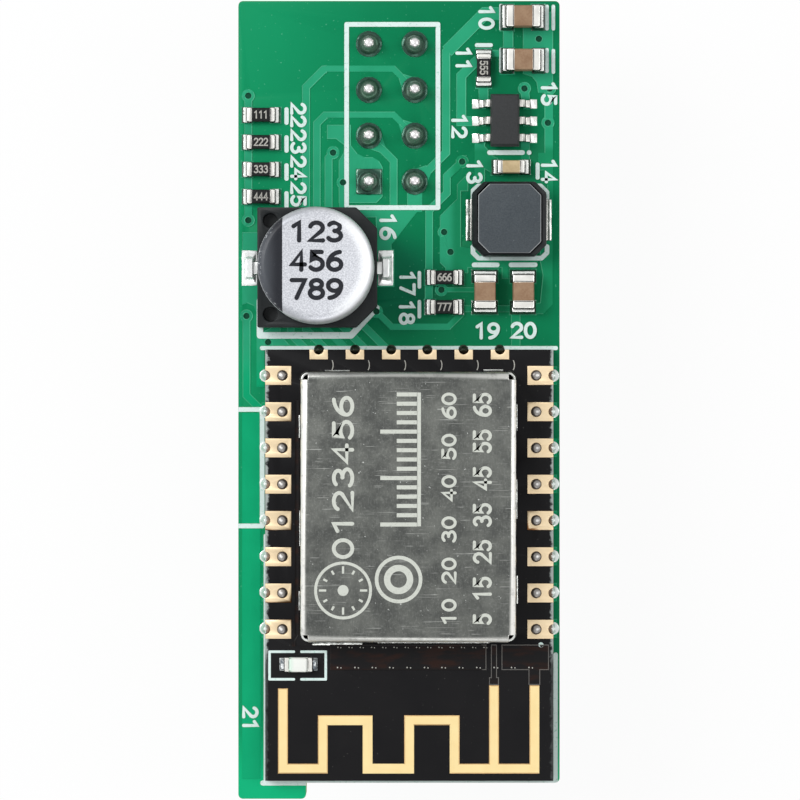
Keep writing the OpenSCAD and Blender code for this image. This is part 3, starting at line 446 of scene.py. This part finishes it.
def winding_wire():
    finish = Finish("winding wire", srgb(178, 92, 48), 0.35, metallic=0.8)
    turns = finish.grain(1, 1, stretch=(0.1, 0.1, 9))
    finish.paint(finish.mix(turns, srgb(140, 66, 32), srgb(200, 110, 60)))
    finish.dents(turns, 0.03)
    return finish


def fired_ceramic(name, dark, light):
    finish = Finish(name, light, 0.5, specular=0.15)
    cloud = finish.grain(1.6, 3) * 0.6 + finish.grain(9, 3, 0.6) * 0.4
    finish.paint(finish.mix(finish.fade(cloud, 0.3, 0.7), dark, light))
    finish.dents(finish.grain(9, 3), 0.005)
    return finish


def resistor_glaze():
    finish = Finish("resistor glaze", srgb(24, 25, 26), 0.32, specular=0.16)
    finish.paint(finish.mix(finish.grain(6, 3), srgb(17, 18, 19), srgb(36, 37, 38)))
    finish.dents(finish.grain(7, 2), 0.01)
    return finish


def module_laminate():
    """Black coating, with pale fibres where the edges were cut."""
    finish = Finish("module laminate", srgb(25, 25, 26), 0.38, specular=0.07)
    mask = finish.mix(finish.grain(0.5, 3), srgb(22, 22, 24), srgb(31, 30, 31))
    dust = finish.fade(finish.grain(6, 3, 0.6), 0.69, 0.77)
    mask = finish.mix(dust * 0.45, mask, srgb(120, 118, 114))
    from_middle = abs(finish.x - MODULE_X)
    ragged = from_middle + (finish.grain(3.4, 3, 0.7) - 0.5) * 0.5
    chipped = finish.fade(ragged, 7.75, 7.9) * (finish.fade(finish.y, -30.6, -29.4) * 0.75 + 0.1)
    mask = finish.mix(chipped, mask, srgb(182, 190, 186))
    plies = finish.grain(1.2, 2, stretch=(1, 1, 12))
    cut_edge = finish.mix(plies, srgb(92, 92, 84), srgb(150, 150, 138))
    face = finish.fade(abs(finish.nz), 0.55, 0.8)
    finish.paint(finish.mix(face, cut_edge, mask))
    finish.dents(finish.grain(3, 2), 0.005)
    return finish


def coated_ground():
    """Copper below the black coating, a little warmer, with a painted highlight on its flanks at
    the antenna.
    """
    finish = Finish("coated ground", srgb(36, 30, 29), 0.36, specular=0.08)
    streak = finish.fade(finish.grain(0.9, 3, 0.6, stretch=(0.6, 2, 1)), 0.45, 0.7)
    flat = finish.mix(streak, srgb(28, 27, 28), srgb(46, 31, 27))
    # painted highlight: the flanks are painted pale by the antenna feed and warm dark elsewhere
    flank = finish.fade(finish.nz, 0.97, 0.8)
    at_feed = finish.fade(finish.x, 4.9, 5.1)
    light = finish.mix(at_feed, srgb(50, 42, 38), srgb(196, 192, 186))
    finish.paint(finish.mix(flank * 0.9, flat, light))
    finish.dents(finish.grain(4, 2), 0.004)
    return finish


def shield_sheet():
    """Plated sheet worn by rubbing: cloudy and scratched on top, with a painted highlight on its
    bends.
    """
    finish = Finish("shield sheet", srgb(100, 101, 98), 0.36, metallic=0.8)
    clouds = finish.fade(finish.grain(0.7, 4, 0.65), 0.3, 0.7)
    sheet = finish.mix(clouds, srgb(80, 82, 80), srgb(104, 106, 102))
    rolled = finish.grain(2.2, 4, 0.75, stretch=(9, 1, 1), turn=0.06)
    sheet = finish.mix(finish.fade(rolled, 0.5, 0.75) * 0.4, sheet, srgb(138, 140, 136))
    fine = finish.fade(finish.grain(9, 3, 0.75), 0.5, 0.72)
    sheet = finish.mix(fine * 0.35, sheet, srgb(144, 146, 142))
    for turn, density in ((0.5, 0.66), (1.2, 0.68), (1.9, 0.67), (2.6, 0.67)):
        hairs = finish.grain(0.7, 2, 0.5, stretch=(0.35, 19, 1), turn=turn)
        patch = finish.fade(finish.grain(0.9, 2), 0.5, 0.6)
        scratch = finish.fade(hairs, density, density + 0.05) * patch
        sheet = finish.mix(scratch * 0.55, sheet, srgb(190, 192, 188))
    specks = finish.fade(finish.grain(5.5, 2, 0.5), 0.72, 0.78)
    sheet = finish.mix(specks * 0.8, sheet, srgb(200, 203, 200))
    # painted highlight: the bends are painted bright, brightest where they face left and right, in
    # patches of noise
    shoulder = finish.fade(finish.nz, 0.995, 0.9) * finish.fade(finish.nz, 0.12, 0.45)
    sideways = finish.fade(abs(finish.nx), 0.1, 0.5)
    bend_highlight = finish.mix(sideways, srgb(168, 169, 165), srgb(240, 239, 234))
    patchy = finish.fade(finish.grain(3, 3, 0.6), 0.25, 0.5)
    sheet = finish.mix(shoulder * (0.6 + patchy * 0.4), sheet, bend_highlight)
    wall = finish.fade(finish.nz, 0.3, 0.1)
    walls = finish.mix(finish.grain(2, 3), srgb(92, 92, 88), srgb(136, 136, 132))
    finish.paint(finish.mix(wall, sheet, walls))
    finish.drive("Roughness", 0.28 + clouds * 0.14)
    finish.dents(finish.grain(1.1, 4, 0.6) + fine * 0.15, 0.015)
    return finish


def etched_mark():
    finish = Finish("etched mark", srgb(204, 207, 198), 0.65, metallic=0.0, specular=0.12)
    patchy = finish.fade(finish.grain(6, 3, 0.7), 0.5, 0.75)
    finish.paint(finish.mix(patchy * 0.5, srgb(208, 211, 202), srgb(158, 160, 154)))
    finish.dents(finish.grain(16, 2), 0.004)
    return finish


def lamp_resin():
    finish = Finish("lamp resin", srgb(238, 242, 232), 0.25, specular=0.5)
    tint = finish.fade(finish.x, -5.3, -5.75)
    finish.paint(finish.mix(tint * 0.6, srgb(242, 244, 238), srgb(176, 226, 200)))
    finish.dents(finish.grain(4, 2), 0.01)
    return finish


LAMINATE = carrier_laminate()
COPPER = coated_copper()
INK = white_ink()
DULL_INK = dull_ink()
PLUG = via_plug()
MOULDING = black_moulding()
PAD_GOLD = gold("pad gold", srgb(244, 224, 190), srgb(234, 208, 166), srgb(120, 78, 36))
ANTENNA_GOLD = gold("antenna gold", srgb(246, 224, 168), srgb(240, 212, 150), srgb(132, 76, 26))
CONTACT_GOLD = contact_gold()
TIN = tin_plate()
SOLDER = solder()
HEADER_SOLDER = header_solder()
MODULE_SOLDER = module_solder()
FLOODED = flooded_solder()
CAN = can_aluminium()
DARK_INK = black_ink()
CASE = moulded_case()
FERRITE = ferrite()
RESIN = magnetic_resin()
WIRE = winding_wire()
BROWN = fired_ceramic("brown ceramic", srgb(140, 110, 86), srgb(162, 134, 108))
PALE = fired_ceramic("pale ceramic", srgb(188, 166, 126), srgb(210, 188, 148))
GLAZE = resistor_glaze()
BLACK_BOARD = module_laminate()
GROUND = coated_ground()
SHEET = shield_sheet()
ETCH = etched_mark()
LENS = lamp_resin()


# ---- Pieces made from the card's own solids ----


def merged(node):
    """The node's surface in millimetres, with its split corners joined."""
    shape = bmesh.new()
    shape.from_mesh(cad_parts[node].data)
    bmesh.ops.scale(shape, vec=Vector((1 / MM,) * 3), verts=shape.verts)
    bmesh.ops.remove_doubles(shape, verts=shape.verts, dist=0.0005)
    return shape


def seat(mesh, name, finish, replaced=()):
    """Puts a mesh on the card, where it stands for the nodes that it replaces."""
    mesh.materials.clear()
    mesh.materials.append(finish.material)
    piece = bpy.data.objects.new(name, mesh)
    bpy.context.scene.collection.objects.link(piece)
    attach(piece, "root")
    if replaced:
        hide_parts(*replaced)
    return piece


def in_metres(shape, name):
    bmesh.ops.scale(shape, vec=Vector((MM,) * 3), verts=shape.verts)
    mesh = bpy.data.meshes.new(name)
    shape.to_mesh(mesh)
    shape.free()
    return mesh


def eased(node, finish, width, segments=2):
    """The node with its sharp edges eased to a small radius."""
    shape = merged(node)
    bmesh.ops.dissolve_limit(
        shape, angle_limit=math.radians(0.5), verts=shape.verts, edges=shape.edges
    )
    mesh = in_metres(shape, node)
    mesh.shade_smooth()
    piece = seat(mesh, node + "_finished", finish, [node])
    edges = piece.modifiers.new("eased edges", "BEVEL")
    edges.limit_method = "ANGLE"
    edges.angle_limit = math.radians(28)
    edges.width = width * MM
    edges.segments = segments
    edges.harden_normals = True
    edges.use_clamp_overlap = False
    return piece


def rimmed(node, finish, width, drop):
    """A thin layer whose top edge slopes down over a narrow rim."""
    shape = merged(node)
    top = [face for face in shape.faces if face.normal.z > 0.9]
    outer = {
        vert
        for edge in shape.edges
        if sum(face.normal.z > 0.9 for face in edge.link_faces) == 1
        for vert in edge.verts
    }
    bmesh.ops.inset_region(shape, faces=top, thickness=width, use_even_offset=True)
    for vert in outer:
        vert.co.z -= drop
    mesh = in_metres(shape, node)
    mesh.shade_flat()
    return seat(mesh, node + "_finished", finish, [node])


def molten(node, finish, cell, settle, unevenness):
    """The node with its form run smooth and a little uneven, as solder sets."""
    mesh = bpy.data.meshes.new(node + "_rough")
    shape = merged(node)
    shape.to_mesh(mesh)
    shape.free()
    rough = bpy.data.objects.new(node + "_rough", mesh)
    bpy.context.scene.collection.objects.link(rough)
    skin = rough.modifiers.new("skin", "REMESH")
    skin.mode = "VOXEL"
    skin.voxel_size = cell
    flow = rough.modifiers.new("flow", "SMOOTH")
    flow.iterations = settle
    bpy.context.view_layer.update()
    settled_rough = rough.evaluated_get(bpy.context.evaluated_depsgraph_get())
    run = bpy.data.meshes.new_from_object(settled_rough)
    bpy.data.objects.remove(rough)
    run.name = node
    settled = []
    for vert in run.vertices:
        swell = noise.noise(vert.co * 2.3) + 0.5 * noise.noise(vert.co * 5.1)
        settled.extend((vert.co - vert.normal * unevenness * (0.6 + swell)) * MM)
    run.vertices.foreach_set("co", settled)
    run.update()
    run.shade_smooth()
    return seat(run, node + "_finished", finish, [node])


def make_solid_pieces():
    eased("carrier_board", LAMINATE, 0.025)
    rimmed("carrier_copper", COPPER, 0.045, 0.02)
    rimmed("carrier_print", INK, 0.02, 0.01)
    eased("socket_housing", MOULDING, 0.05)
    eased("socket_contacts", CONTACT_GOLD, 0.02)
    eased("capacitor_base", MOULDING, 0.06)
    eased("capacitor_can", CAN, 0.03)
    eased("capacitor_leads", FLOODED, 0.05)
    eased("regulator_body", CASE, 0.04)
    eased("regulator_leads", TIN, 0.02)
    eased("inductor_core", FERRITE, 0.05)
    eased("inductor_resin", RESIN, 0.08)
    eased("inductor_terminals", TIN, 0.02)
    eased("module_board", BLACK_BOARD, 0.02)
    rimmed("antenna", ANTENNA_GOLD, 0.055, 0.025)
    rimmed("module_tracks", GROUND, 0.045, 0.02)
    rimmed("module_print", INK, 0.015, 0.008)
    eased("module_pads", PAD_GOLD, 0.012)
    eased("shield", SHEET, 0.03)
    eased("lamp_lens", LENS, 0.05)
    eased("lamp_ends", TIN, 0.03)
    molten("header_solder", HEADER_SOLDER, 0.045, 4, 0.012)
    molten("capacitor_solder", FLOODED, 0.03, 6, 0.02)
    eased("regulator_solder", SOLDER, 0.02)
    molten("inductor_solder", SOLDER, 0.03, 4, 0.012)
    molten("chip_solder", SOLDER, 0.035, 4, 0.012)
    molten("module_solder", MODULE_SOLDER, 0.035, 4, 0.008)
    molten("shield_solder", SOLDER, 0.03, 3, 0.012)


def make_chip_parts():
    for node in sorted(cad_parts):
        if node.endswith("_ends") and node != "lamp_ends":
            eased(node, TIN, 0.03)
        elif node.endswith("_body") and "resistor" in node:
            eased(node, GLAZE, 0.03)
        elif node == "boost_ceramic_body":
            eased(node, PALE, 0.03)
        elif node.endswith("_body") and "ceramic" in node:
            eased(node, BROWN, 0.04)


def finish_hidden_solids():
    """Solids that keep their own mesh: those under the shield and in the inductor."""
    for node, finish in (
        ("inductor_winding", WIRE),
        ("radio_chip", CASE),
        ("flash_chip", CASE),
        ("crystal", SHEET),
        ("shielded_chips", PALE),
        ("polarity_mark", DARK_INK),
    ):
        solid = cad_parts[node]
        solid.data.materials.clear()
        solid.data.materials.append(finish.material)


# ---- Printed numbers and etched marks ----


def bow(x, y, wide, tall, start, end, steps=14):
    """Points on part of an oval, from one angle to another in degrees."""
    turns = [math.radians(start + (end - start) * i / steps) for i in range(steps + 1)]
    return [(x + wide * math.cos(turn), y + tall * math.sin(turn)) for turn in turns]


def turned_over(paths):
    return [[(0.6 - x, 1 - y) for x, y in path] for path in paths]


SIX = [
    bow(0.6, 0.3, 0.6, 0.7, 96, 180) + bow(0.3, 0.3, 0.3, 0.3, 192, 360),
    bow(0.3, 0.3, 0.3, 0.3, 0, 180),
]
DIGITS = {
    "0": [bow(0.3, 0.5, 0.3, 0.5, 90, 270), bow(0.3, 0.5, 0.3, 0.5, -90, 90)],
    "1": [[(0.08, 0.8), (0.34, 1), (0.34, 0)]],
    "2": [bow(0.3, 0.71, 0.29, 0.29, 165, -38) + [(0, 0), (0.6, 0)]],
    "3": [bow(0.28, 0.76, 0.26, 0.24, 150, -85), bow(0.28, 0.27, 0.31, 0.27, 88, -150)],
    "4": [[(0.44, 0), (0.44, 1), (0, 0.3), (0.6, 0.3)]],
    "5": [[(0.54, 1), (0.1, 1), (0.06, 0.54)] + bow(0.28, 0.32, 0.31, 0.32, 120, -145)],
    "6": SIX,
    "7": [[(0, 1), (0.6, 1), (0.22, 0)]],
    "8": [
        bow(0.3, 0.77, 0.25, 0.23, 90, 270), bow(0.3, 0.77, 0.25, 0.23, -90, 90),
        bow(0.3, 0.27, 0.3, 0.27, 90, 270), bow(0.3, 0.27, 0.3, 0.27, -90, 90),
    ],
    "9": turned_over(SIX),
}


class Marks:
    """Flat marks of one thickness, gathered into one mesh. Each is drawn at a place in
    millimetres and may be turned by an angle in degrees. The strokes of a number rise by a
    hair, one after another, so that no two tops lie in one plane."""

    hair = 0.0004

    def __init__(self, bottom, top):
        self.shape = bmesh.new()
        self.bottom = bottom
        self.top = top

    def stamp(self, outline, holes=()):
        """A closed prism of an outline, with holes."""
        rings = [outline, *holes]
        walls = []
        for ring in rings:
            low = [self.shape.verts.new((x, y, self.bottom)) for x, y in ring]
            high = [self.shape.verts.new((x, y, self.top)) for x, y in ring]
            walls.append((low, high))
            for i in range(len(ring)):
                j = (i + 1) % len(ring)
                self.shape.faces.new((low[i], low[j], high[j], high[i]))
        if holes:
            for level in (0, 1):
                edges = [
                    self.shape.edges.get((ring[level][i - 1], ring[level][i]))
                    for ring in walls
                    for i in range(len(ring[level]))
                ]
                bmesh.ops.triangle_fill(self.shape, edges=edges, use_beauty=True)
        else:
            self.shape.faces.new(walls[0][0][::-1])
            self.shape.faces.new(walls[0][1])

    def circle(self, centre, radius, steps=48):
        turns = [math.tau * i / steps for i in range(steps)]
        return [
            (centre[0] + radius * math.cos(turn), centre[1] + radius * math.sin(turn))
            for turn in turns
        ]

    def ring(self, centre, inner, outer):
        self.stamp(self.circle(centre, outer), [self.circle(centre, inner)])

    def dot(self, centre, radius):
        self.stamp(self.circle(centre, radius, 24))

    def bar(self, centre, size, turn=0):
        rotation = Matrix.Rotation(math.radians(turn), 2)
        corners = [(-0.5, -0.5), (0.5, -0.5), (0.5, 0.5), (-0.5, 0.5)]
        self.stamp([
            tuple(Vector(centre) + rotation @ Vector((u * size[0], v * size[1])))
            for u, v in corners
        ])

    def stroke(self, points, width):
        """A line of one width through the points, with round ends."""
        points = [Vector(point) for point in points]
        left, right = [], []
        for i, point in enumerate(points):
            before = (point - points[i - 1]).normalized() if i else None
            after = (points[i + 1] - point).normalized() if i + 1 < len(points) else None
            way = ((before or after) + (after or before)).normalized()
            side = Vector((-way.y, way.x)) * (width / 2)
            square = way.dot(after or before)
            left.append(point + side / max(square, 0.6))
            right.append(point - side / max(square, 0.6))
        outline = left + self.cap(points[-1], points[-1] - points[-2], width)
        outline += right[::-1] + self.cap(points[0], points[0] - points[1], width)
        self.stamp([tuple(point) for point in reversed(outline)])

    def cap(self, end, way, width):
        start = math.atan2(way.y, way.x) + math.pi / 2
        turns = [start - math.pi * i / 6 for i in range(1, 6)]
        return [end + Vector((math.cos(turn), math.sin(turn))) * width / 2 for turn in turns]

    def number(self, text, centre, size, turn=0, weight=0.2):
        """Digits in strokes, size being the whole number's length and height."""
        drawn = 0.84 * (len(text) - 1) + 0.6
        rotation = Matrix.Rotation(math.radians(turn), 2)
        width = weight * size[1]
        for place, digit in enumerate(text):
            for path in DIGITS.get(digit, ()):
                self.stroke([
                    Vector(centre) + rotation @ Vector((
                        (0.84 * place + x - drawn / 2) * (size[0] - width) / drawn,
                        (y - 0.5) * (size[1] - width),
                    ))
                    for x, y in path
                ], width)
                self.top += self.hair

    def seat(self, name, finish, slot):
        bmesh.ops.recalc_face_normals(self.shape, faces=self.shape.faces)
        mesh = in_metres(self.shape, name)
        mesh.shade_flat()
        return seat(mesh, name, finish)


def top_of(node):
    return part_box(node)[1].z / MM


def print_board_numbers():
    """Plain counting numbers at the places of the parts."""
    marks = Marks(top_of("carrier_board"), top_of("carrier_print"))
    for number, x, y in (
        (10, 5.25, 5.29), (11, 3.98, 2.99), (12, 3.75, -0.73), (13, 4.58, -3.25),
        (14, 8.71, -3.22), (15, 8.71, 1.07), (17, 0.87, -9.42), (18, 0.84, -11.06),
        (21, -7.83, -33.55), (22, -5.17, -0.12), (23, -5.17, -1.59), (24, -5.17, -3.05),
        (25, -5.17, -4.52),
    ):
        marks.number(str(number), (x, y), (1.38, 0.92), -90)
    marks.number("16", (-0.21, -6.3), (1.5, 0.96), -90)
    marks.number("19", (5.28, -12.08), (1.42, 0.96))
    marks.number("20", (7.3, -12.05), (1.46, 0.96))
    marks.seat("board_numbers", INK, "white_ink")


def print_chip_numbers():
    for index, (node, place, turn) in enumerate((
        ("pull_up_resistor_1_body", (-7.23, -0.13), 0),
        ("pull_up_resistor_2_body", (-7.23, -1.637), 0),
        ("pull_up_resistor_3_body", (-7.23, -3.144), 0),
        ("pull_up_resistor_4_body", (-7.23, -4.651), 0),
        ("enable_resistor_body", (5.09, 2.46), -90),
        ("divider_resistor_1_body", (2.92, -9.12), 0),
        ("divider_resistor_2_body", (2.91, -10.76), 0),
    )):
        level = top_of(node)
        marks = Marks(level - 0.005, level + 0.01)
        marks.number("%d%d%d" % ((index + 1,) * 3), place, (0.8, 0.46), turn, weight=0.16)
        marks.seat(node.replace("_body", "_number"), DULL_INK, "white_ink")


def print_can_numbers():
    level = top_of("capacitor_can") - 0.03
    marks = Marks(level - 0.005, level + 0.016)
    for text, y in (("123", -6.82), ("456", -8.4), ("789", -9.92)):
        marks.number(text, (-4.05, y), (2.9, 1.2), weight=0.2)
    marks.seat("can_numbers", DARK_INK, "black_ink")


def etch_shield():
    """A plain dial, a scale and rows of counting numbers, etched in columns."""
    level = top_of("shield")
    marks = Marks(level - 0.004, level + 0.004)
    marks.number("0123456", (-2.65, -20.13), (8.9, 1.22), 90, weight=0.17)
    marks.ring((-2.65, -26.3), 1.42, 1.58)
    for spoke in range(12):
        turn = math.tau * spoke / 12
        place = (-2.65 + 1.12 * math.cos(turn), -26.3 + 1.12 * math.sin(turn))
        marks.bar(place, (0.4 if spoke % 3 == 0 else 0.24, 0.12), math.degrees(turn))
    marks.dot((-2.65, -26.3), 0.3)
    marks.bar((1.5, -19.15), (0.2, 7.3))
    for step in range(15):
        length = 2.0 if step % 5 == 0 else 1.1
        marks.bar((1.38 - length / 2, -22.7 + step * 0.507), (length, 0.22))
    marks.ring((0.38, -25.7), 1.1, 1.3)
    marks.ring((0.38, -25.7), 0.45, 0.8)
    marks.number("10 20 30 40 50 60", (3.13, -21.85), (12.7, 0.84), 90, weight=0.19)
    marks.number("5 15 25 35 45 55 65", (4.95, -21.85), (12.7, 1.05), 90, weight=0.17)
    marks.seat("shield_marks", ETCH, "shield_sheet")


def mark_module():
    """Ticks beside the end pads, and two rows of specks where coated vias stand proud."""
    level = top_of("module_tracks")
    marks = Marks(level - 0.06, level + 0.01)
    for pad in range(6):
        x = -3.36 + 2.0 * pad
        marks.stroke(bow(x, -13.98, 0.13, 0.3, 55, -60, 8), 0.05)
    for step in range(14):
        x = -2.9 + step * 0.62
        marks.dot((x - 0.07, -29.55), 0.035)
        marks.dot((x + 0.09, -29.57), 0.03)
    for step in range(12):
        x = -2.9 + step * 0.96
        marks.dot((x - 0.09, -30.66), 0.04)
        marks.dot((x + 0.1, -30.68), 0.035)
    marks.seat("module_ticks", DULL_INK, "white_ink")


def plug_vias():
    """Each via of the carrier board is closed by its coating."""
    low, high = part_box("carrier_board")
    marks = Marks(low.z / MM + 0.04, high.z / MM - 0.03)
    for x, y in (
        (-7.95, 0.95), (-7.95, -5.95), (-8.05, -11.25), (-6.85, -12.7), (-3.25, -2.2),
        (-2.7, -3.85), (-0.85, -11), (3.9, -2.7), (2.9, -6.6), (3.25, -7.7),
        (7.35, 1.35), (8.15, 4.1), (8.65, -0.55), (8.75, 1.35), (2.75, -9.8),
    ):
        marks.dot((x, y), 0.172)
    marks.seat("via_plugs", PLUG, "carrier_laminate")


# ---- Stage, light and camera ----


def show_white(wiring, strength):
    """1 for a ray that should see plain white: from the camera, a gloss or through glass."""
    path = ("Is Camera Ray", "Is Glossy Ray", "Is Transmission Ray")
    camera, glossy, through = (
        wiring.node("ShaderNodeLightPath", {}, {}, name) for name in path
    )
    return camera.over(glossy).over(through) * strength


def lay_floor():
    half = 600 * MM
    mesh = bpy.data.meshes.new("floor")
    corners = [(-half, -half), (half, -half), (half, half), (-half, half)]
    mesh.from_pydata([(x, y, -RESTING_GAP * MM) for x, y in corners], [], [(0, 1, 2, 3)])
    floor = bpy.data.objects.new("floor", mesh)
    bpy.context.scene.collection.objects.link(floor)
    paper = Finish("floor paper", srgb(244, 244, 244), 0.9, specular=0.1)
    glow = paper.node("ShaderNodeEmission", {}, {"Color": (1, 1, 1, 1), "Strength": 1.0})
    mixed = paper.node(
        "ShaderNodeMixShader",
        {},
        {0: show_white(paper, 0.93), 1: Signal(paper, paper.surface.outputs[0]), 2: glow},
    )
    output = paper.tree.nodes["Material Output"]
    paper.feed(output.inputs["Surface"], mixed)
    mesh.materials.append(paper.material)


def light_studio():
    world = bpy.data.worlds.new("studio")
    world.use_nodes = True
    bpy.context.scene.world = world
    sky = Wiring(world.node_tree)
    plain = sky.node("ShaderNodeBackground", {}, {"Color": (1, 1, 1, 1), "Strength": 1.0})
    soft = sky.node("ShaderNodeBackground", {}, {"Color": (0.97, 0.99, 1, 1), "Strength": 0.4})
    mixed = sky.node("ShaderNodeMixShader", {}, {0: show_white(sky, 1.0), 1: soft, 2: plain})
    sky.feed(world.node_tree.nodes["World Output"].inputs["Surface"], mixed)
    card = Vector((0.4, -16, 10)) * MM
    for name, offset, width, power in (
        ("key", (-190, 90, 210), 150, 0.6),
        ("fill", (210, 30, 190), 130, 0.17),
        ("front", (20, -230, 160), 140, 0.13),
    ):
        lamp = bpy.data.lights.new(name, "AREA")
        lamp.size = width * MM
        lamp.energy = power
        holder = bpy.data.objects.new(name, lamp)
        bpy.context.scene.collection.objects.link(holder)
        holder.location = card + Vector(offset) * MM
        holder.rotation_euler = (-Vector(offset)).to_track_quat("-Z", "Y").to_euler()


def place_camera():
    """Straight above the card, as for a catalogue picture."""
    distance = 204 * MM
    shown = 44.32 * MM
    camera = bpy.data.cameras.new("camera")
    camera.angle = 2 * math.atan(shown / 2 / distance)
    camera.clip_start = 0.01
    camera.clip_end = 10
    holder = bpy.data.objects.new("camera", camera)
    bpy.context.scene.collection.objects.link(holder)
    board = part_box("carrier_board")[1].z
    holder.location = (0.457 * MM, -15.906 * MM, board + distance)
    bpy.context.scene.camera = holder


make_solid_pieces()
make_chip_parts()
finish_hidden_solids()
print_board_numbers()
print_chip_numbers()
print_can_numbers()
etch_shield()
mark_module()
plug_vias()
lay_floor()
light_studio()
place_camera()
bpy.context.scene.view_settings.view_transform = "Standard"
